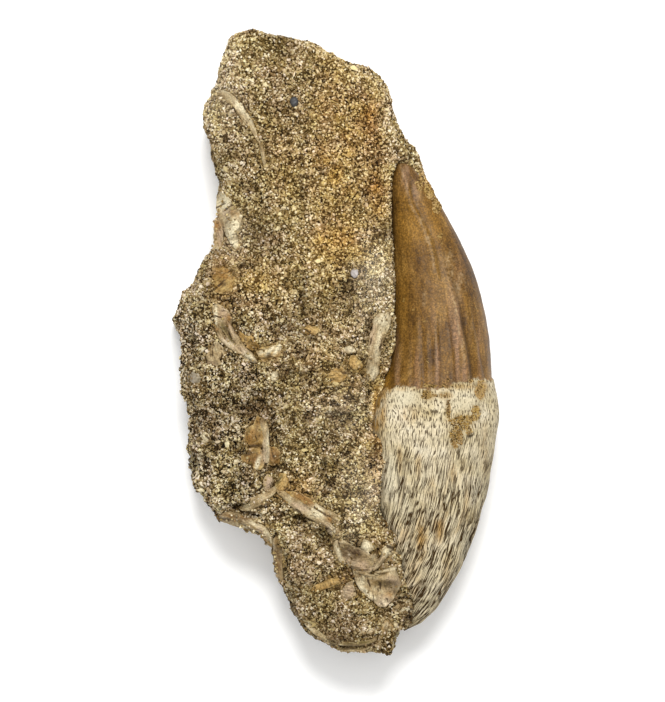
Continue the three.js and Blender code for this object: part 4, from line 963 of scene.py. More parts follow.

# The bone and pebble scraps
# Stains of the bone, with painted shadow in its crevices among the umber ones: x, y, half-length,
# half-width, turn in degrees, strength.
boneStainsAndShadow = {
    "amber": [
        (-19.7, 25.1, 1.3, 0.8, -50, 0.8), (-23.2, 23, 1.4, 0.9, 90, 0.9), (-21.8, 14, 2.6, 2.2, 90, 0.6),
        (-20.9, 5, 0.9, 0.7, 60, 0.8), (-16.8, -18.4, 1.8, 0.9, 90, 0.7),
        (-14.9, -15.6, 1.2, 0.8, 90, 0.4), (-12, -22.4, 1.5, 1, 90, 0.95),
        (-16.2, -22.9, 1.8, 1.1, 30, 1), (-11.9, -22.4, 1.2, 1.5, 0, 1), (-21.6, 4.6, 2.2, 0.6, -60, 0.6),
        (-11.4, -43.4, 2.6, 0.8, -85, 0.7), (-6, -30.9, 2.2, 0.7, -30, 0.9),
        (-4.8, -31.9, 1, 0.6, -60, 0.9), (-1.2, -34.6, 1.3, 0.6, -50, 0.7),
        (-11, -40, 1.6, 0.7, -60, 0.6), (-20, -34.4, 3.4, 0.5, -8, 0.6), (-11.4, -43, 3, 0.6, -85, 0.5),
        (10.4, -50.2, 1.4, 0.8, 30, 0.75), (9, -47.4, 2, 0.9, 0, 0.4), (-1.5, -48, 3, 0.6, 20, 0.5)],
    "gold": [
        (-19, -19.8, 1.4, 0.7, 0, 0.6), (-10.3, -27.6, 1.8, 0.9, 80, 0.9), (-14.5, -2.2, 1.2, 1, 0, 0.7),
        (-12, -1.5, 1.6, 0.6, 60, 0.8), (-4.9, 2.6, 1.5, 0.6, 0, 0.8), (0.3, -6.6, 1.8, 1.2, 20, 0.7),
        (-2, -47.9, 3.6, 0.6, 20, 0.8), (3.6, -3.6, 1.2, 0.9, 0, 0.7), (-17.5, 1.2, 2, 1, -40, 0.5),
        (-11.2, -39.8, 1.2, 0.7, -60, 0.6)],
    "pink": [
        (-22, 6, 1.5, 1, 60, 0.6), (-20.9, 0, 1.7, 0.7, -35, 0.9), (-20.4, 2.6, 1.6, 0.5, -60, 0.7),
        (-17.5, -2.2, 2.4, 0.7, -38, 0.6), (-13.8, -22, 2.6, 0.7, 90, 0.7),
        (-13.1, -27.4, 1.6, 0.8, 75, 0.9), (-6.8, -32.5, 1.8, 0.6, -25, 0.8),
        (-0.7, -37.3, 2, 0.8, -55, 0.7), (2.4, -43, 1.4, 0.8, -50, 0.6), (5, -44, 2.4, 1, -10, 0.8),
        (8.5, -43.4, 2.2, 0.7, 50, 0.5), (2.6, -49.4, 1.6, 1.2, 60, 0.7), (9.6, -51.3, 1.7, 1.2, 0, 0.8),
        (11.3, -47.3, 1.8, 1.4, 20, 0.6), (-22.8, 21, 2.4, 0.8, 90, 0.6), (7.4, 1.6, 3, 0.6, 80, 0.5),
        (3, -1.4, 1.2, 0.5, -10, 0.6), (-21.6, 25.9, 0.8, 0.9, 0, 0.6), (-25, -4.1, 1.6, 0.5, 0, 0.6),
        (-14.8, -37, 1.4, 0.4, -50, 0.6), (-18.6, 46.6, 2.8, 0.8, -55, 0.3)],
    "cream": [
        (-11.2, -0.8, 1.9, 0.5, 60, 1), (-12.9, -1.6, 1.5, 0.45, 45, 0.9),
        (-14.4, -1.8, 1.2, 0.5, 20, 0.8), (-22, 28.2, 2, 1.4, 60, 1), (-0.5, -37.2, 1.2, 0.7, -55, 0.5),
        (-20.3, 22.3, 2.4, 1.3, 70, 1), (-19.8, 19.7, 1.4, 0.8, 0, 0.9), (-23.6, 5.2, 2.2, 0.35, 90, 0.9),
        (-15.3, -23.8, 1.4, 0.5, 70, 0.9), (-13.3, -20.8, 3.2, 0.4, 88, 0.7),
        (-10.7, -0.6, 1.5, 0.5, 65, 0.7), (-13.1, -1.6, 1, 0.4, 60, 0.6), (9.3, 4.6, 1.6, 1.4, 30, 0.9),
        (8.5, 0, 4.5, 0.5, 82, 0.5), (7.5, -6, 1.5, 1, 80, 0.7), (-3.6, -33.3, 1.6, 1, -30, 0.95),
        (0.7, -41.4, 1.8, 0.45, -72, 0.95), (6.3, -40.1, 1.2, 1.1, 0, 1),
        (6.2, -49.3, 2.4, 0.5, -40, 0.9), (5.2, -47.4, 1.2, 0.8, -20, 0.4), (9.7, -51.2, 1.3, 1, 80, 0.4),
        (10.6, -41, 1.4, 0.9, 50, 1), (-17, -2.7, 1.6, 0.6, -40, 0.9), (-21.2, 0.1, 1.2, 0.6, -30, 0.6),
        (-3.4, -33.4, 1.6, 0.8, -30, 0.6), (-15.5, -36.2, 1.6, 0.35, -30, 0.8),
        (-12.9, -38.9, 1.6, 0.3, -65, 0.8), (11, -44.7, 2.2, 0.35, 8, 0.8),
        (14.2, -52.9, 1.3, 0.6, 0, 0.9), (10.2, -56.3, 1.2, 1.2, 0, 0.3),
        (-13.6, -37.4, 1.4, 0.4, -50, 0.8), (-5.6, -55.9, 2, 0.5, -50, 0.6), (-12.1, -6.6, 1, 1, 0, 1),
        (-21.5, 50.1, 2.4, 0.7, -15, 0.5), (-17, 44.6, 2.4, 0.7, -58, 0.5),
        (-18.7, 46.7, 1.8, 0.8, -55, 0.9), (3, -1.3, 1.2, 0.6, -10, 0.7), (-26.2, -18.9, 1.2, 1, 0, 0.7)],
    "olive": [
        (-22, 2.9, 1.6, 0.4, -60, 0.9), (-20.8, 1, 1.2, 0.3, -55, 0.9), (-17.2, -17.2, 1, 0.5, 90, 0.6),
        (-10.9, -26.9, 1.2, 0.35, 60, 0.9), (-17.6, -31.9, 1.4, 0.6, 10, 0.5),
        (-15.9, -21.6, 1.2, 0.5, 60, 0.5), (9.6, -47.6, 2.2, 0.9, 0, 0.6), (-22.6, 29.3, 1, 0.8, 0, 0.4),
        (-13.7, -21.5, 1.6, 0.7, 90, 0.5), (7.6, -43.5, 1.8, 0.8, 20, 0.6), (-3, -58, 2.4, 1, -40, 0.3),
        (5, -59.7, 4, 1, 0, 0.8), (1, -47.6, 1.4, 0.3, 25, 0.6), (-0.8, -59.4, 1.4, 0.7, -20, 0.5)],
    # brown stain, with painted shadow in the crevices between and under the flakes
    "umber": [
        (3.6, -41.4, 2.6, 1.5, -15, 0.85), (7.8, -41.6, 1.2, 1, 0, 0.5), (3.4, -44.5, 1.4, 0.35, 0, 0.5),
        (-22, 11.8, 0.7, 0.5, 0, 0.8), (-21, 1.9, 1.8, 0.28, -58, 0.8), (-13, -2.5, 0.7, 0.6, 0, 0.7),
        (-17.1, -21.9, 1, 0.45, 30, 0.8), (-15.8, -23, 1.5, 1, 0, 0.35), (-12, -22.3, 1.2, 1.5, 0, 0.4),
        (-13.7, -21.5, 0.7, 2, 0, 0.25), (-18.5, -35, 1.6, 0.8, -15, 0.6),
        (-15, -16.4, 1.8, 0.8, 80, 0.45), (-16, -20.3, 1.4, 0.3, 0, 0.9),
        (-21.6, -35.1, 1.8, 0.35, -5, 0.8), (-19.3, -34.8, 1.2, 0.3, -15, 0.6),
        (5.6, -44.9, 1.2, 0.2, 0, 0.8), (9.3, -44.6, 1.2, 0.3, 5, 0.6), (2, -60.5, 2.6, 0.5, 0, 0.7),
        (4.5, -59.9, 2.2, 0.35, 0, 0.6), (0.5, -37.6, 1, 0.6, -50, 0.7),
        (11.3, -48.6, 1.4, 0.5, -40, 0.4), (10.8, -47.6, 1.4, 0.9, 0, 0.5), (1.9, -5.9, 0.5, 0.4, 0, 0.9),
        (-6, -32, 1.6, 0.2, -35, 0.5), (-11.5, -43.2, 2.6, 1, -85, 0.65),
        (-1.7, -36.6, 1.5, 0.25, -50, 0.5)],
}


def boneShares(points):  # the stains and painted shadow of the bone, broken up by noise 0.9 mm across
    return stainAndShadeTable(points, boneStainsAndShadow, 1.4, 0.9, 80, 3)


# A flake's outline is its own or its CAD node's, in mm. proud is the height above the rock at the
# middle, dome its fall towards the edge, tilt the rise per mm to the right and upwards on the plan,
# layers the number of steps, facets of broken corners, rough and ragged the bumps of the top and of
# the outline, spread the growth of the outline.
plainFlake = {"slot": "pale_bone", "dome": 0.0, "tilt": (0, 0), "layers": 0, "facets": 3,
              "rough": 0.22, "ragged": 0.22, "spread": 0.2, "dark": 0.0, "lilac": 0.0}
flakes = {
    "dark_pebble": {"slot": "pebble", "facets": 0, "proud": 0.5, "dome": 1.0, "dark": 0.9,
                    "ragged": 0.03},
    "edge_flake": {"proud": 1.2, "rough": 0.3, "ragged": 0.14, "facets": 2, "tilt": (0.05, 0),
                   "outline": [
        (-22.6, 30), (-21.1, 28.8), (-20.3, 27.1), (-19.2, 26), (-18.4, 24.3), (-18.5, 22.9),
        (-19.3, 21.2), (-18.9, 19.9), (-19.6, 18.5), (-20.5, 19.5), (-21.2, 20.8), (-22.1, 22.6),
        (-22.6, 24.5), (-23.5, 26.5), (-23.3, 28.8)]},
    "edge_flake_outer": {"node": "edge_flake", "proud": 0.6, "layers": 2, "outline": [
        (-23.9, 24), (-23, 24.5), (-22.3, 23.4), (-22.4, 21.8), (-22.3, 20.2), (-22.9, 18.8),
        (-23.9, 18.9), (-24, 21)]},
    "amber_patch": {"slot": "amber_bone", "proud": 0.35, "rough": 0.5, "ragged": 0.5, "outline": [
        (-23.8, 15.8), (-22.4, 16.7), (-21, 16.3), (-19.9, 15.4), (-19.5, 13.5), (-19.8, 11.2),
        (-20.8, 9.9), (-22.4, 9.7), (-23.6, 10.8), (-24.2, 13.2)]},
    "side_flake": {"proud": 0.5, "layers": 2, "tilt": (0.08, 0.05), "outline": [
        (-23.6, 0.2), (-22.5, -0.5), (-21.9, -1.7), (-22.3, -2.6), (-22.9, -3.1), (-22.8, -4.2),
        (-23.8, -4.8), (-25, -4.4), (-26.3, -4.4), (-26.6, -3.8), (-25.5, -3), (-24.9, -1.8),
        (-24.4, -0.6)]},
    "forked_bone_head": {"node": "forked_bone", "proud": 0.9, "tilt": (0.1, 0.1), "outline": [
        (-24.3, 7.2), (-23.2, 7.7), (-22, 6.9), (-21.1, 6.1), (-20.5, 5), (-20.6, 3.9), (-21.4, 3.4),
        (-22.2, 3.3), (-23, 3.3), (-23.7, 3.8), (-23.8, 5.4)]},
    "v_chip": {"slot": "amber_bone", "proud": 0.35, "layers": 3, "rough": 0.4, "outline": [
        (-10, 0.9), (-11.4, -0.5), (-12.8, -0.9), (-14.3, -0.8), (-15.4, -1.5), (-15, -2.8), (-14, -3.6),
        (-12.8, -4.2), (-11.9, -4.1), (-11.2, -2.8), (-10.6, -1.2)]},
    "v_chip_wing": {"node": "v_chip", "slot": "amber_bone", "proud": 0.15, "rough": 0.5,
                    "ragged": 0.5, "outline": [
        (-19, 2.4), (-17.6, 1.4), (-16, 1), (-15.2, -0.2), (-15.6, -1.6), (-16.8, -1.2), (-18, -0.4),
        (-18.8, 0.9)]},
    "white_chip": {"proud": 0.45, "layers": 1, "tilt": (0.1, 0.2), "outline": [
        (-12.5, -5.7), (-11.5, -5.6), (-11.3, -7.3), (-12.2, -7.5), (-12.6, -6.8)]},
    "yellow_chip": {"slot": "amber_bone", "proud": 0.4, "tilt": (0, -0.15), "outline": [
        (-6.3, 2.9), (-5.2, 3.4), (-3.4, 3), (-3, 2.3), (-4.2, 1.8), (-5.8, 1.9)]},
    "lilac_speck": {"slot": "pebble", "facets": 0, "proud": 0.3, "dome": 0.8, "lilac": 0.6,
                    "spread": 0.0},
    "flat_chip": {"proud": 0.35, "tilt": (0, 0.1), "outline": [
        (1.5, -1.6), (2.4, -0.7), (3.6, -0.9), (4, -1.8), (2.7, -2)]},
    "ochre_flake": {"slot": "amber_bone", "proud": 0.35, "layers": 2, "rough": 0.35, "ragged": 0.4},
    "ochre_flake_side": {"node": "ochre_flake", "slot": "amber_bone", "proud": 0.25, "rough": 0.4,
                         "ragged": 0.4, "outline": [
        (2.4, -2.9), (3.8, -2.8), (5, -3.6), (5.3, -5), (4.3, -5.4), (3, -4.6), (2.2, -4)]},
    "round_pebble": {"slot": "pebble", "facets": 0, "proud": 0.7, "dome": 0.9, "ragged": 0.08},
    "cream_chip": {"proud": 0.4, "ragged": 0.2},
    "cluster_top": {"slot": "amber_bone", "proud": 0.8, "layers": 2, "tilt": (0.15, -0.1),
                    "outline": [
        (-15.4, -14.5), (-14.4, -14.8), (-13.9, -16.6), (-13.8, -18.6), (-14, -20.2), (-15.3, -20.4),
        (-16.6, -20.5), (-17.6, -19.8), (-17.8, -18), (-17.3, -16.9), (-16.2, -16.4)]},
    "cluster_left": {"slot": "amber_bone", "proud": 0.9, "layers": 3, "tilt": (0.1, 0.05),
                     "outline": [
        (-16.4, -20.9), (-15, -20.9), (-14.2, -22), (-14.1, -24), (-14.9, -25.1), (-16, -24.8),
        (-16.8, -23.9), (-18.4, -23.4), (-18.8, -22.4), (-17.4, -22.1)]},
    "cluster_right": {"slot": "amber_bone", "proud": 0.75, "tilt": (-0.1, -0.05), "outline": [
        (-13.2, -20.6), (-11.7, -20.8), (-10.9, -21.9), (-11.1, -23.6), (-12, -24.1), (-13.3, -24)]},
    "pink_flake": {"proud": 0.75, "tilt": (0.15, 0.05), "outline": [
        (-13.4, -26.1), (-12.3, -26.1), (-12.2, -27.2), (-12.8, -28.4), (-13.4, -29.5), (-14, -28.8),
        (-14, -27.4)]},
    "gold_flake": {"slot": "amber_bone", "proud": 0.85, "layers": 2, "tilt": (0.1, 0), "outline": [
        (-11, -26), (-9.7, -25.9), (-9.3, -27.2), (-9, -28.8), (-10, -29.5), (-11.4, -29.1),
        (-11.7, -28.2), (-11.3, -27.2)]},
    "ridge_ochre": {"slot": "amber_bone", "proud": 0.8, "layers": 2, "tilt": (0, 0.1), "outline": [
        (-9.9, -29.3), (-8.2, -29.5), (-6.4, -30), (-5, -30.8), (-4, -31.8), (-4.3, -32.7), (-5.6, -32.3),
        (-7.4, -31.4), (-9, -30.7), (-10.4, -30.2)]},
    "ridge_pale": {"node": "ridge_ochre", "proud": 0.7, "tilt": (0, 0.15), "outline": [
        (-9.2, -30.6), (-7.9, -31.1), (-6.5, -31.9), (-5.2, -32.5), (-4.9, -33.4), (-6.2, -33.7),
        (-7.6, -33.3), (-8.8, -32.2)]},
    "ridge_cream": {"proud": 0.95, "layers": 2, "tilt": (0, 0.1), "outline": [
        (-5, -32.9), (-3.7, -31.9), (-2.4, -32.7), (-1, -33.2), (0.3, -33.9), (0.3, -35.2), (-0.6, -36),
        (-1.9, -35.6), (-3.7, -34.8), (-4.9, -34)]},
    "ridge_tail": {"proud": 0.8, "layers": 1, "tilt": (0.1, 0.1), "outline": [
        (-3.8, -34.9), (-2.4, -35.4), (-1, -35.9), (0.1, -36.6), (1, -37.8), (0.9, -38.9), (-0.3, -38.6),
        (-1.3, -37.4), (-2.3, -36.4), (-3.6, -35.9)]},
    "ochre_sliver": {"slot": "amber_bone", "proud": 0.55, "layers": 2, "ragged": 0.12,
                     "tilt": (0, 0.2), "outline": [
        (2.9, -46.2), (1, -46.6), (-1.2, -47), (-3.4, -47.9), (-5.1, -48.9), (-4.8, -49.7), (-3.6, -49.4),
        (-1.8, -48.7), (0.4, -48), (1.6, -47.4)]},
    "small_flake": {"proud": 0.7, "tilt": (0.1, 0.1), "layers": 1, "outline": [
        (2.2, -47.9), (3.3, -47.2), (3.7, -48.5), (4, -49.8), (3, -50.4), (1.8, -51.2), (0.9, -50.7),
        (1.4, -49.3)]},
    "upper_shard": {"proud": 0.7, "layers": 1, "tilt": (-0.1, 0.2), "outline": [
        (5.6, -39.2), (6.6, -39), (7.5, -39.5), (7.4, -41), (6.4, -41.4), (5.2, -40.6)]},
    "upper_shard_right": {"node": "upper_shard", "proud": 0.6, "layers": 1, "outline": [
        (9.4, -40.7), (10.4, -39.9), (11.4, -40.4), (11.3, -41.7), (10.2, -42.4), (9.2, -42)]},
    "big_plate": {"proud": 1.3, "layers": 3, "tilt": (0.05, 0.02), "spread": 0.15, "facets": 2,
                  "ragged": 0.12, "outline": [
        (3.7, -45), (5.4, -45.4), (7.2, -46), (9.6, -45.5), (12.4, -44.2), (13.5, -44.3), (13.3, -47),
        (12.4, -49), (11.5, -50.6), (10, -52.2), (8.7, -52), (7.2, -50.6), (5.4, -49.3), (4.2, -47.3)]},
    "hollow_bone_bowl": {"node": "hollow_bone", "proud": 0.35, "dome": -0.6, "rough": 0.5,
                         "facets": 0, "spread": 0.1, "ragged": 0.4, "outline": [
        (0.8, -39.2), (2.2, -39.2), (3.6, -40.3), (5.4, -40.8), (6.8, -41.8), (8.6, -41.9), (8.8, -43),
        (7.8, -44.4), (6.6, -45.5), (4.6, -45.2), (3.2, -44.6), (1.8, -43.4), (0.9, -41)]},
    "base_bit": {"slot": "amber_bone", "proud": 0.5, "layers": 1, "ragged": 0.3, "outline": [
        (9.3, -55.1), (10.6, -54.7), (11.3, -56), (11.3, -57.5), (10.4, -58.3), (9.2, -58.6),
        (9.4, -57.2), (9, -56)]},
    "foot_flake": {"node": "base_bit", "proud": 0.5, "layers": 1, "outline": [
        (9, -58.8), (10.4, -58.4), (11.6, -59), (11.4, -60.4), (10, -60.4), (8.6, -60)]},
}

# A splinter follows its path, with a half-width at each of the points. groove is a furrow along the
# line at grooveAt (from -1 to 1 across), lean the rise from its left side to its right.
plainSplinter = {"slot": "pale_bone", "groove": 0.0, "grooveAt": 0.0, "lean": 0.0}
splinters = {
    "rib_splinter": {
        "path": [
        (-24.3, 48.6), (-23, 49.3), (-21.7, 49.3), (-20.6, 48.4), (-19.4, 47), (-18.3, 45.4), (-17.2, 44),
        (-16.3, 42.6), (-15.7, 41), (-15, 39.6)],
        "width": [0.4, 0.8, 0.9, 0.95, 1.1, 1.0, 0.8, 0.6, 0.4, 0.15], "proud": 0.8, "groove": 0.25,
        "grooveAt": -0.2},
    "thin_sliver": {"path": [(-15, 40.2), (-14.3, 37.5), (-13.9, 35.6), (-13.6, 33.8)],
                    "width": [0.2, 0.45, 0.4, 0.12], "proud": 0.45},
    "forked_bone": {
        "path": [
        (-21.7, 5), (-21.2, 3.4), (-20.4, 1.8), (-19.4, 0.4), (-18.6, -0.9), (-17.6, -2.1), (-16.5, -3.1),
        (-15.2, -4.1)],
        "width": [0.5, 0.7, 0.65, 0.7, 0.85, 0.9, 0.7, 0.2], "proud": 1.2, "lean": -0.35},
    "forked_bone_left": {
        "node": "forked_bone",
        "path": [
        (-23.1, 4), (-22.9, 2.2), (-22.4, 0.9), (-21.3, 0.1), (-20.2, -0.7), (-18.8, -1.7),
        (-17.4, -2.7)],
        "width": [0.35, 0.55, 0.7, 0.75, 0.7, 0.5, 0.15], "proud": 1.1, "lean": 0.3},
    "forked_bone_shade": {
        "node": "forked_bone", "path": [(-22.3, 3.8), (-21.6, 2.4), (-20.8, 1), (-20, -0.1)],
        "width": [0.5, 0.6, 0.5, 0.2], "proud": 0.35, "groove": 0.3},
    "bone_rod": {  # its head is a piece of its own below
        "path": [
        (9.8, 6.1), (9.3, 4.2), (8.6, 2.2), (8, 0.2), (7.75, -1.8), (7.6, -3.8), (7.3, -5.6),
        (7.1, -7.9)],
        "width": [1.1, 1.9, 1.65, 1.4, 1.3, 1.25, 1.5, 0.8], "proud": 1.15, "groove": 0.35,
        "grooveAt": -0.1, "lean": 0.15},
    "bone_rod_head": {
        "node": "bone_rod", "path": [(10.2, 6.3), (10.5, 5), (10.4, 3.4), (9.9, 1.6)],
        "width": [0.5, 0.8, 0.6, 0.15], "proud": 0.8},
    "cluster_column": {
        "path": [
        (-14.5, -14.6), (-14.1, -16.5), (-13.8, -18.6), (-13.6, -20.4), (-13.6, -22.2), (-13.7, -24)],
        "width": [0.6, 0.85, 0.8, 0.75, 0.8, 0.7], "proud": 1.3, "lean": -0.3},
    "left_band": {
        "path": [
        (-19, -33), (-16.8, -32.2), (-15.2, -31.2), (-13.6, -30.2), (-12.2, -29.2), (-11.2, -28.3)],
        "width": [0.4, 0.9, 1.1, 0.9, 0.7, 0.3], "proud": 0.7, "groove": 0.3},
    "ridge_band": {
        "node": "ridge_cream",
        "path": [
        (-11.8, -28.6), (-9.8, -30.2), (-7.5, -31.8), (-5.2, -33.2), (-3, -34.4), (-1, -35.8),
        (0.2, -37.6)],
        "width": [0.5, 0.9, 1.2, 1.2, 1.2, 0.9, 0.3], "proud": 1.05, "groove": 0.3},
    "notch_sheet": {
        "path": [
        (-23.4, -34), (-21, -34.1), (-19, -34.6), (-17.5, -35.4), (-16, -36.1), (-14.6, -36.7),
        (-13.5, -37.8), (-12.8, -39.4), (-12.5, -41)],
        "width": [0.5, 0.85, 0.95, 1.0, 1.0, 1.0, 0.9, 0.8, 0.3], "proud": 1.9, "groove": 0.4},
    "notch_sheet_lower": {
        "node": "notch_sheet",
        "path": [(-23.3, -34.9), (-21.4, -35), (-19.6, -35.6), (-17.8, -36.2), (-16.4, -36.8)],
        "width": [0.6, 0.9, 0.9, 0.8, 0.3], "proud": 1.5},
    "notch_sheet_foot": {
        "node": "notch_sheet",
        "path": [(-11.9, -38.4), (-11.5, -40.2), (-11.2, -42), (-11.1, -44), (-10.9, -46), (-10.4, -47.8)],
        "width": [0.5, 0.9, 1.0, 0.9, 0.7, 0.2], "proud": 1.4, "groove": 0.35, "grooveAt": 0.2},
    "hollow_bone": {
        "path": [(0.4, -38.8), (0.2, -40.1), (0.6, -41.7), (1.3, -42.9), (2.1, -43.9)],
        "width": [0.3, 0.8, 0.9, 0.75, 0.25], "proud": 1.2, "groove": 0.15, "lean": -0.35},
    "hollow_bone_right": {
        "node": "hollow_bone",
        "path": [(7.4, -45.1), (8.2, -44.2), (9.1, -43.1), (9.9, -42), (10.7, -40.9)],
        "width": [0.25, 0.6, 0.6, 0.75, 0.3], "proud": 1.1, "lean": -0.25},
    "plate_rim": {"path": [(7.8, -45.3), (9.4, -45.3), (11, -44.9), (12.4, -44.4), (13.4, -44.2)],
                  "width": [0.2, 0.4, 0.5, 0.5, 0.25], "proud": 1.0},
    "plate_rim_left": {"node": "plate_rim",
                       "path": [(3.9, -45.1), (5.4, -45.5), (7, -46.1), (8.2, -46)],
                       "width": [0.2, 0.35, 0.4, 0.15], "proud": 0.9},
    "pale_arc": {"path": [(12.7, -53.4), (13.6, -52.7), (14.7, -52.7), (15.3, -53.6)],
                 "width": [0.2, 0.5, 0.5, 0.2], "proud": 0.7},
    "base_sheet": {
        "path": [
        (-6.9, -53.9), (-5.6, -55.8), (-3.9, -57.4), (-2.2, -58.6), (-0.6, -59.3), (1.2, -59.8),
        (3, -59.7), (5, -59.7), (7, -59.3), (8.6, -58.6)],
        "width": [0.25, 0.5, 0.6, 0.55, 0.5, 0.4, 0.4, 0.5, 0.5, 0.2], "proud": 0.5,
        "groove": 0.2},
    "base_sheet_lower": {
        "node": "base_sheet", "path": [
        (-0.6, -60.3), (1.4, -60.9), (3.4, -60.8), (5.4, -60.9), (7.2, -60.2)],
        "width": [0.25, 0.5, 0.5, 0.45, 0.2], "proud": 0.5, "groove": 0.3},
}


# The outline of a CAD node on the plan: of its corners in each direction from their middle, the
# farthest, in order of direction.
def nodeOutline(node):
    corners = np.unique(nodePoints(node).round(3), axis=0)[:, :2]
    away = (corners - corners.mean(0)).T
    reach, turn = np.hypot(*away), np.arctan2(*away[::-1])
    near = np.abs((turn[:, None] - turn + math.pi) % (2 * math.pi) - math.pi) < 0.03
    outer = (reach >= 0.98 * np.where(near, reach, 0).max(1)) & (reach > 0.2)
    return corners[outer][np.argsort(turn[outer])]


flakeTopRings = 34
# the wall under a flake's edge, ring by ring: its share of the outline, and how far down it is
flakeWall = np.array([(1.01, 0.3), (1.02, 0.7), (1, 1.1), (0.97, 1.7)])


# A flake: rings from the middle to the outline. Its top is a plane over the rock, tilted, bumped,
# striated, broken off in a few facets and stepped along bent lines where the bone splits; it bends
# down near the outline and ends in a wall that goes into the rock.
def makeFlake(name, facts):
    facts = {"node": name, **plainFlake, **facts}
    node, slot = facts["node"], facts["slot"]
    ring = np.array(facts["outline"], float) if "outline" in facts else nodeOutline(node)
    around = 120
    outline = alongPath(np.concatenate([ring, ring[:1]]), np.arange(around) / around)
    outline = blurred(np.concatenate([outline] * 3), 1)[around:2 * around]
    centre = outline.mean(0)
    size = np.hypot(*(outline - centre).T)[:, None]
    flatRing = flatPlaces(outline)
    ragged = cloudNoise(flatRing, 1.1, 42, 2) + 0.5 * cloudNoise(flatRing, 0.4, 46)
    grown = facts["ragged"] * ragged[:, None] + facts["spread"]
    away = (outline - centre) * (1 + grown / np.maximum(size, 0.6))
    share = np.append(np.linspace(0.03, 1, flakeTopRings), flakeWall[:, 0])[:, None, None]
    xy = centre + away * share
    flatPlace = flatPlaces(xy)
    inner = np.minimum(share[..., 0], 1)
    lift = facts["proud"] * (1 - facts["dome"] * inner ** 2)
    lift = lift + facts["rough"] * cloudNoise(flatPlace, 1.2, 43, 3)
    lift = lift + (xy - centre) @ np.array(facts["tilt"])
    luck = np.random.default_rng(sum(map(ord, name)))
    crease = 0
    for turn in luck.uniform(0, 2 * math.pi, facts["facets"]):
        beyond = (xy - centre) @ [math.cos(turn), math.sin(turn)]
        beyond = beyond - luck.uniform(0.1, 0.6) * size.mean()
        beyond = beyond + 0.15 * cloudNoise(flatPlace, 0.8, 49)
        lift = lift - luck.uniform(0.2, 0.5) * softRamp(beyond, 0.05)
        crease = np.maximum(crease, np.exp(-(beyond / 0.12) ** 2))
    grainAngle = cloudNoise(centre[None, [0, 1, 0]], 3.0, 45)[0] * math.pi
    alongGrain = [math.cos(grainAngle), math.sin(grainAngle)]
    acrossGrain = [-math.sin(grainAngle), math.cos(grainAngle)]
    across = xy @ acrossGrain
    fibre = np.stack([across, xy @ alongGrain / 6, 0 * across], -1)
    lift = lift + 0.11 * cloudNoise(fibre, 0.32, 50, 2)
    if facts["layers"]:
        rung = across * facts["layers"] / (2.2 * size.mean()) + 0.45 * cloudNoise(flatPlace, 1.6, 44, 2)
        lift = lift + 0.32 * (smoothStep(0.35, 0.5, rung % 1) - rung % 1)
    sunk = np.clip(0.35 + 1.3 * cloudNoise(flatPlace, 1.8, 47, 2), 0, 1)
    lift = lift - (lift + 0.1) * smoothStep(0.6, 1.0, inner) * sunk - 0.12 * smoothStep(0.88, 1, inner)
    down = np.append(np.zeros(flakeTopRings), flakeWall[:, 1])[:, None]
    z = underCeiling(readMap(softLevel, xy) + lift) - down
    rings = np.append(xy, z[..., None], 2)
    top = [*centre, rings[0, :, 2].mean()]
    bottom = [*centre, rings[-1, :, 2].min() - 0.5]
    points, faceSets = closedSkin(top, rings, bottom)
    run, side = points[:, :2] @ alongGrain, points[:, :2] @ acrossGrain
    fields = boneShares(points)
    fields["flow"] = np.stack([side, run * 0.25, 0 * run], -1)
    # edge: a painted highlight along the raised part of the outline and along the broken creases
    rim = np.maximum(smoothStep(0.8, 0.97, inner) * (1 - sunk), 0.6 * crease)
    rim = rim * np.clip(0.6 + cloudNoise(flatPlace, 1.0, 48, 2), 0, 1)
    fields["edge"] = withPoles(0, rim, 0)
    for key in ("dark", "lilac"):
        fields[key] = np.full(len(points), facts[key])
    makePiece(name + "_detail", points, faceSets, fields, materials[slot], node)
    return points[1:1 + (flakeTopRings + 2) * around]  # down to the widest ring of the wall


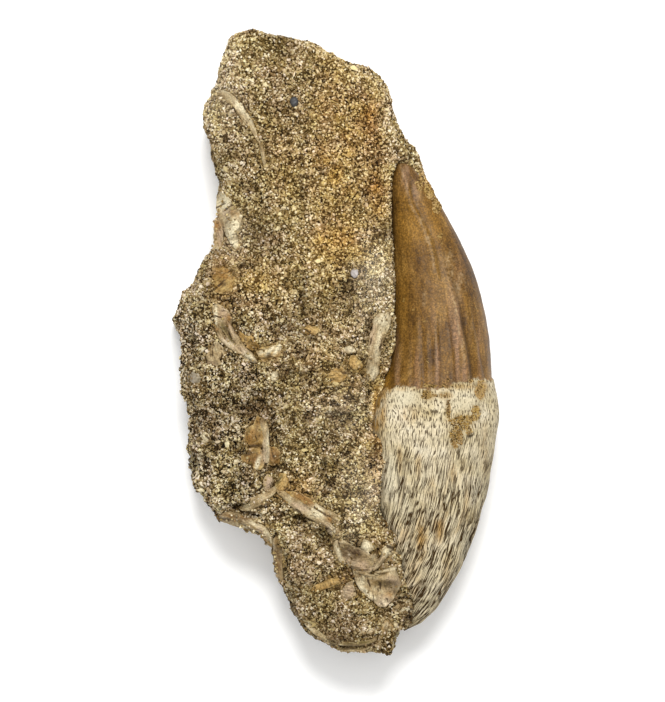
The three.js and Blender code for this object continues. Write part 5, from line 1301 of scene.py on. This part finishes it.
# A splinter: a flattened oval carried along its path, with striations, a furrow and a lean, its
# width uneven and both ends drawn in. The oval's two coordinates are powers of a cosine and a sine.
def makeSplinter(name, facts):
    facts = {"node": name, **plainSplinter, **facts}
    node, slot = facts["node"], facts["slot"]
    rows, around = 120, 44
    share = np.linspace(0, 1, rows)
    path = blurred(alongPath(facts["path"], share), 6)
    places = np.linspace(0, 1, len(facts["width"]))
    width = blurred(np.interp(share, places, facts["width"]), 4)
    width = width * np.sqrt(np.clip(1 - np.abs(2 * share - 1) ** 16, 0.02, 1))
    way = np.gradient(path, axis=0)
    way /= np.hypot(*way.T)[:, None]
    side = np.stack([-way[:, 1], way[:, 0]], -1)
    a = np.arange(around) / around * 2 * math.pi
    out = np.sign(np.cos(a)) * np.abs(np.cos(a)) ** 0.8
    up = np.sign(np.sin(a)) * np.abs(np.sin(a)) ** 0.7
    edgePlace = path[:, None] + side[:, None] * np.sign(out)[:, None]
    uneven = 1 + 0.28 * cloudNoise(flatPlaces(edgePlace), 1.2, 51, 3)
    xy = path[:, None] + side[:, None] * (out * width[:, None] * uneven)[..., None]
    run = np.append(0, np.cumsum(np.hypot(*np.diff(path, axis=0).T)))
    flow = np.stack([out * width[:, None], run[:, None] * 0.22 + 0 * out, np.zeros((rows, around))], -1)
    tall = facts["proud"] * (0.35 + 0.65 * np.minimum(1, width / width.max()))[:, None]
    furrow = facts["groove"] * np.exp(-((out - facts["grooveAt"]) / 0.35) ** 2) * (up > 0)
    striae = cloudNoise(flow + [0, 0, 3], (0.28, 0.5, 1), 52, 2)
    wander = cloudNoise(flatPlaces(xy), 1.6, 53, 2)
    crest = 0.5 * cloudNoise(path[:, [0, 1, 0]], 2.4, 55)[:, None]  # where the top is highest
    tall = tall * (1.15 - 0.45 * np.abs(out - crest)) + 0.25 * wander
    lift = np.where(up > 0, (tall - facts["lean"] * out) * up - furrow, 1.3 * up)
    lift = lift + 0.17 * striae * (up > 0)
    z = underCeiling(readMap(softLevel, path)[:, None] + lift)
    rings = np.append(xy, z[..., None], 2)
    poles = [rings[0].mean(0) - [*way[0] * 0.3, 0.3], rings[-1].mean(0) + [*way[-1] * 0.3, -0.3]]
    points, faceSets = closedSkin(poles[0], rings, poles[1])
    fields = boneShares(points)
    fields["flow"] = withPoles(flow[0, 0], flow, flow[-1, 0])
    # edge: a painted highlight along the crest
    pale = np.exp(-((out - crest) / 0.25) ** 2) * np.clip(0.5 + cloudNoise(flow, 1.0, 54, 2), 0, 1)
    fields["edge"] = withPoles(0, 0.8 * pale * (up > 0), 0)
    makePiece(name + "_detail", points, faceSets, fields, materials[slot], node)
    return rings[:, up > -0.3].reshape(-1, 3)


scrapPoints = [makeFlake(name, facts) for name, facts in flakes.items()]
scrapPoints += [makeSplinter(name, facts) for name, facts in splinters.items()]
scrapLevel = heightMap(np.concatenate(scrapPoints), 1)
scrapCover = blurredMap((scrapLevel > plan["empty"]).astype(float), 1)
nearScraps = blurredMap(scrapCover, 2)


# The gap in the sand round each scrap, where the rock is lowered and painted shade darkens it: the share
# of a wider blur of the scraps' plan that lies outside them, on sand that faces up.
def gapShares(points, facing):
    xy = points[:, :2]
    gap = 2.6 * np.clip(readMap(nearScraps, xy) - 0.8 * readMap(scrapCover, xy), 0, 0.35)
    return gap * (facing[:, 2] > 0.3)


print("scraps made")

# The finished block: all the lumps, lowered under the scraps, and ground flat underneath
rock = rockPoints + lumps(block["lumps"])
rock[:, 2] = underCeiling(rock[:, 2])
rock[:, 2] -= 0.7 * gapShares(rockPoints, rockNormals)
over = readMap(scrapLevel, rock[:, :2])
over = np.where(upwards & (over > readMap(broadLevel, rock[:, :2]) - 0.1), over, 99)
covered = readMap(scrapCover, rock[:, :2]) > 0.35
rock[:, 2] = np.minimum(rock[:, 2], np.where(covered, over - 0.15, 99))
ground = rockPoints[:, 2] < 0.3
rock[:, 2] = np.where(ground, np.maximum(rockPoints[:, 2], 0), np.maximum(rock[:, 2], 0))
openLevel = heightMap(rock[upwards], 8)
wideLevel = blurredMap(openLevel, 6)


# Painted shade and painted light: the surface darkens where it lies below the mean height of the 3 mm
# around it and pales where it stands above, from 0.05 mm to 0.7 mm away. The gap round the scraps gets
# painted shade too.
def addHollowShadeAndTopLight(shares, points, facing):
    rise = readMap(openLevel, points[:, :2]) - readMap(wideLevel, points[:, :2])
    rise = rise * (facing[:, 2] > 0.3)
    lowShare = np.maximum(0.7 * smoothStep(0.05, 0.7, -rise), gapShares(points, facing))
    shares["dusk"] = np.maximum(shares["dusk"], lowShare)
    shares["bright"] = np.maximum(shares["bright"], 0.9 * smoothStep(0.05, 0.6, rise))


rock = rock.reshape(smoothRock.shape)
topPole, footPole = (*block["rim"][0][0][0], 12), (*block["rim"][-1][0][-1], 9)
points, faceSets = closedSkin(np.array(topPole) + (0.2, -0.5, 0), rock,
                              np.array(footPole) + (0, 0.6, 0))
fields = stainAndShadeShares(points)
addHollowShadeAndTopLight(fields, points, withPoles([0, 0, 0], rockNormals, [0, 0, 0]))
makePiece("sandstone_block", points, faceSets, fields, materials["sandstone"], "matrix")

# The sand grains
sand = {
    "spacing": 0.3,  # cells that hold one grain each, mm
    # where, how many, shape, smallest and largest radius in mm
    "sets": [("face", 66000, "chip", (0.13, 0.32)), ("face", 1200, "ball", (0.24, 0.4)),
             ("face", 420, "crumb", (0.35, 0.75)),
             ("sides", 27000, "chip", (0.18, 0.34)), ("under", 6000, "chip", (0.2, 0.36))],
    "clinging": (2200, 0.22, (0.1, 0.22)),  # on the tooth: how many, spacing, radius
    "rise": 0.2,  # how far a grain's middle stands over the surface, as a share of its radius
    # the kinds of grain: dark phosphate up to the first number, tan up to the second, and above it
    # clear or white quartz, with the darkest and the palest tone of each
    "kinds": (0.27, 0.77), "tones": ((0.02, 0.3), (0.3, 0.7), (0.62, 1.0)),
    "crumbTones": (0.5, 0.92), "clingingTones": (0.2, 0.52), "middleTone": 0.46,
    "tries": 3,  # places drawn for each grain that is wanted
    "perPiece": 180000,  # triangles
}
rng = np.random.default_rng(7)
golden = (1 + math.sqrt(5)) / 2  # the ball is an icosahedron, the chip an octahedron
ballPoints = np.array([(-1, golden, 0), (1, golden, 0), (-1, -golden, 0), (1, -golden, 0),
                       (0, -1, golden), (0, 1, golden), (0, -1, -golden), (0, 1, -golden),
                       (golden, 0, -1), (golden, 0, 1), (-golden, 0, -1), (-golden, 0, 1)])
ballPoints /= np.linalg.norm(ballPoints[0])
ballFaces = np.array([(0, 11, 5), (0, 5, 1), (0, 1, 7), (0, 7, 10), (0, 10, 11), (1, 5, 9), (5, 11, 4),
                      (11, 10, 2), (10, 7, 6), (7, 1, 8), (3, 9, 4), (3, 4, 2), (3, 2, 6), (3, 6, 8),
                      (3, 8, 9), (4, 9, 5), (2, 4, 11), (6, 2, 10), (8, 6, 7), (9, 8, 1)])
chipPoints = np.array([(1, 0, 0), (-1, 0, 0), (0, 1, 0), (0, -1, 0), (0, 0, 1), (0, 0, -1)]) * 1.1
chipFaces = np.array([(0, 2, 4), (2, 1, 4), (1, 3, 4), (3, 0, 4), (2, 0, 5), (1, 2, 5), (3, 1, 5),
                      (0, 3, 5)])
shapes = {"ball": (ballPoints, ballFaces), "chip": (chipPoints, chipFaces),
          "crumb": (ballPoints, ballFaces)}


# Points scattered over the broken rock: quads are drawn by area, a place is drawn in each, and one
# place is kept in each small cell of space.
def scatter(rings, wanted, keep, cell):
    a, b = rings[:-1], rings[1:]
    quads = np.stack([a, b, np.roll(b, -1, 1), np.roll(a, -1, 1)], 2).reshape(-1, 4, 3)
    cross = np.cross(quads[:, 2] - quads[:, 0], quads[:, 3] - quads[:, 1])
    area = np.linalg.norm(cross, axis=1)
    facing = cross / np.maximum(area, 1e-9)[:, None]
    outwards = facing * (quads.mean(1) - quads.mean((0, 1)))
    facing *= np.sign((area * outwards.sum(1)).sum())
    odds = area * keep(quads.mean(1), facing)
    chosen = rng.choice(len(quads), wanted * sand["tries"], p=odds / odds.sum())
    u, v = rng.random((2, len(chosen), 1))
    corner = quads[chosen]
    place = (corner[:, 0] * (1 - u) + corner[:, 1] * u) * (1 - v) + (
        corner[:, 3] * (1 - u) + corner[:, 2] * u) * v
    cells = np.floor(place / cell + rng.random(3)).astype(np.int64)
    key = cells @ np.array([1, 10007, 100000007])
    first = np.unique(key, return_index=True)[1]
    first = rng.permutation(first)[:wanted]
    return place[first], facing[chosen][first]


# Each grain is a ball of 20 faces or a chip of 8, stretched to random half-sizes, dented, and turned
# by a random quaternion, with its middle a little over the surface.
def makeSand(name, places, facing, shape, spread):
    count = len(places)
    basePoints, baseFaces = shapes[shape]
    corners = len(basePoints)
    radius = spread[0] + (spread[1] - spread[0]) * rng.random(count) ** 1.5
    turns = rng.normal(size=(count, 4))
    turns /= np.linalg.norm(turns, axis=1)[:, None]
    w, x, y, z = turns.T
    spin = np.stack([1 - 2 * (y * y + z * z), 2 * (x * y - z * w), 2 * (x * z + y * w),
                     2 * (x * y + z * w), 1 - 2 * (x * x + z * z), 2 * (y * z - x * w),
                     2 * (x * z - y * w), 2 * (y * z + x * w), 1 - 2 * (x * x + y * y)], -1)
    stretch = rng.uniform(0.7, 1.3, (count, 1, 3))
    dents = rng.uniform(0.8, 1.2, (count, corners, 1))
    if shape == "crumb":  # broken flakes and shards
        stretch = rng.uniform((0.7, 0.5, 0.25), (1.5, 1.0, 0.5), (count, 3))[:, None]
        dents = rng.uniform(0.6, 1.25, (count, corners, 1))
    grains = basePoints * stretch * dents * radius[:, None, None]
    grains = np.einsum("nij,nkj->nki", spin.reshape(-1, 3, 3), grains)
    centres = places + facing * (sand["rise"] * radius)[:, None]
    # the kinds lie in loose clumps
    clumped = 0.28 + 0.17 * smoothStep(22, 4, places[:, 1])
    kind = rng.random(count) + clumped * cloudNoise(places, 1.3, 71, 2)
    dark, tan, quartz = (rng.uniform(*tones, count) for tones in sand["tones"])
    firstKind, secondKind = sand["kinds"]
    tone = np.where(kind < firstKind, dark, np.where(kind < secondKind, tan, quartz))
    if shape == "crumb":
        tone = rng.uniform(*sand["crumbTones"], count)
    # tones differ more on the left flank
    mixed = smoothStep(-8, -18, places[:, 0]) * smoothStep(12, 4, places[:, 1])
    middleTone = sand["middleTone"]
    tone = np.clip(middleTone + (tone - middleTone) * (1 + 0.55 * mixed), 0, 1)
    onBone = readMap(scrapCover, places[:, :2]) > 0.5
    tone = np.where(onBone & (facing[:, 2] > 0), np.maximum(tone, 0.4), tone)
    # the stains, painted shade and painted light of the rock round each grain
    stainAndShade = stainAndShadeShares(places)
    addHollowShadeAndTopLight(stainAndShade, places, facing)
    stainAndShade["hue"] = np.clip(stainAndShade["hue"] + rng.normal(0, 0.25, count), 0, 1)
    if name == "sand_clinging":  # iron-stained, without the palest and darkest grains
        stainAndShade["ochre"][:], stainAndShade["rust"][:] = 0.6, 0
        tone = np.clip(tone, *sand["clingingTones"])
    pieces = max(1, math.ceil(count * len(baseFaces) / sand["perPiece"]))
    order = np.argsort(places[:, 1])
    for k in range(pieces):
        part = order[k * count // pieces:(k + 1) * count // pieces]
        points = (grains[part] + centres[part, None]).reshape(-1, 3)
        points[:, 2] = np.maximum(points[:, 2], 0.02)
        faces = (baseFaces + corners * np.arange(len(part))[:, None, None]).reshape(-1, 3)
        fields = {key: np.repeat(value[part], corners) for key, value in stainAndShade.items()}
        fields["tone"] = np.repeat(tone[part], corners)
        makePiece(f"{name}_{k + 1}", points, [faces], fields, materials["grains"], "matrix",
                  smooth=False)


# Whether points are in the tooth, 0.2 mm or more under its surface: in the oval that each row is.
def inTooth(points):
    x, yHere, z = points.T
    row = [np.interp(yHere, rowY[::-1], value[::-1]) for value in (middle, half, level, depth)]
    away = np.hypot((x - row[0]) / (row[1] - 0.2), (z - row[2]) / (row[3] - 0.2))
    return (away < 1) & (yHere < rowY[0]) & (yHere > rowY[-1])


# where each set of grains may lie, by the place p and the normal n
allowed = {
    "face": lambda p, n: (n[:, 2] > 0.35) & ~inTooth(p) & (p[:, 2] > 8),
    "sides": lambda p, n: (n[:, 2] <= 0.35) & (p[:, 2] > 1.0) & ~inTooth(p),
    "under": lambda p, n: (n[:, 2] < -0.2) & (p[:, 2] < 4) & (p[:, 2] > 0.05),
    "clinging": lambda p, n: (n[:, 2] > 0.1) * (np.abs(p[:, 1] - 7) > 14) * (
        patchShare("sand", p[:, 0], p[:, 1]) + 0.3 * cloudNoise(p, 0.6, 92, 2) > 0.55),
}
for name, wanted, shape, spread in sand["sets"]:
    cell = sand["spacing"] * {"chip": 1, "ball": 1.6, "crumb": 3}[shape]
    places, facing = scatter(rock, wanted, allowed[name], cell)
    # where bone lies above the sand, grains stay only here and there, lifted on to it, most of them
    # near its edge
    over = readMap(scrapLevel, places[:, :2])
    under = (places[:, 2] < over + 0.1) & (over > 0) & (facing[:, 2] > 0)
    edge = 1 - readMap(scrapCover, places[:, :2])
    stay = rng.random(len(places)) < 0.04 + edge
    places[:, 2] = np.where(under, over - 0.05, places[:, 2])
    chosen = ~under | (stay & (shape != "crumb"))
    makeSand(f"sand_{name}_{shape}", places[chosen], facing[chosen], shape, spread)
wanted, cell, spread = sand["clinging"]
places, facing = scatter(toothRings, wanted, allowed["clinging"], cell)
makeSand("sand_clinging", places, facing, "chip", spread)
print("sand scattered")

# The pale floor, the lights and the camera
studio = {
    "floorSize": 3.0, "lens": 300, "aim": (-0.5, -1.6, 13.0), "frameHeight": 140.4,
    "keyPlace": (0.02, 0.45, 1.0), "keySize": 0.35, "keyPower": 10.5,
    "fillPlace": (0.0, 0.0, 1.3), "fillSize": 1.2, "fillPower": 7.0,
    "skyStrength": 0.42, "paperGlow": 0.13,
}
# Seamless paper, pressed: matt and nearly white, with a tone that is uneven every 2 mm.
material, tree, place = newMaterial("matPaperSweep")
fibres = addNode(tree, "TexNoise", {"Scale": perMm(2.0)}, {"Vector": place}).outputs[0]
colour = addNode(tree, "ValToRGB", {"stops": [(0.0, "#f4f4f3"), (1.0, "#f8f8f7")]},
                 {"Fac": fibres}).outputs[0]
rough = addNode(tree, "MapRange", {"To Min": 0.9, "To Max": 1.0}, {"Value": fibres}).outputs[0]
finishMaterial(tree, colour, rough, fibres, 0.01, {
    "Specular IOR Level": 0.1, "Emission Color": (1, 1, 1, 1),
    "Emission Strength": studio["paperGlow"]})
mesh = bpy.data.meshes.new("floor")
r = studio["floorSize"] / 2
mesh.from_pydata([(-r, -r, 0), (r, -r, 0), (r, r, 0), (-r, r, 0)], [], [(0, 1, 2, 3)])
mesh.materials.append(material)
floor = bpy.data.objects.new("floor", mesh)
bpy.context.scene.collection.objects.link(floor)

for name in ("key", "fill"):  # round lamps that face the object
    light = bpy.data.lights.new(name, "AREA")
    light.shape = "DISK"
    light.size = studio[name + "Size"]
    light.energy = studio[name + "Power"]
    lamp = bpy.data.objects.new(name, light)
    lamp.location = studio[name + "Place"]
    direction = -np.array(studio[name + "Place"])
    turn = math.atan2(math.hypot(direction[0], direction[1]), -direction[2])
    lamp.rotation_euler = (turn, 0, math.atan2(-direction[0], direction[1]))
    bpy.context.scene.collection.objects.link(lamp)

world = bpy.data.worlds.new("studio")
bpy.context.scene.world = world
world.use_nodes = True
world.node_tree.nodes["Background"].inputs["Color"].default_value = (1, 1, 1, 1)
world.node_tree.nodes["Background"].inputs["Strength"].default_value = studio["skyStrength"]

camera = bpy.data.cameras.new("camera")
camera.lens = studio["lens"]
camera.clip_start, camera.clip_end = 0.01, 20
viewer = bpy.data.objects.new("camera", camera)
aim = np.array(studio["aim"]) * mm
viewer.location = aim + (0, 0, studio["lens"] / camera.sensor_width * studio["frameHeight"] * mm)
bpy.context.scene.collection.objects.link(viewer)
bpy.context.scene.camera = viewer
bpy.context.scene.view_settings.view_transform = "Standard"
print("studio set")
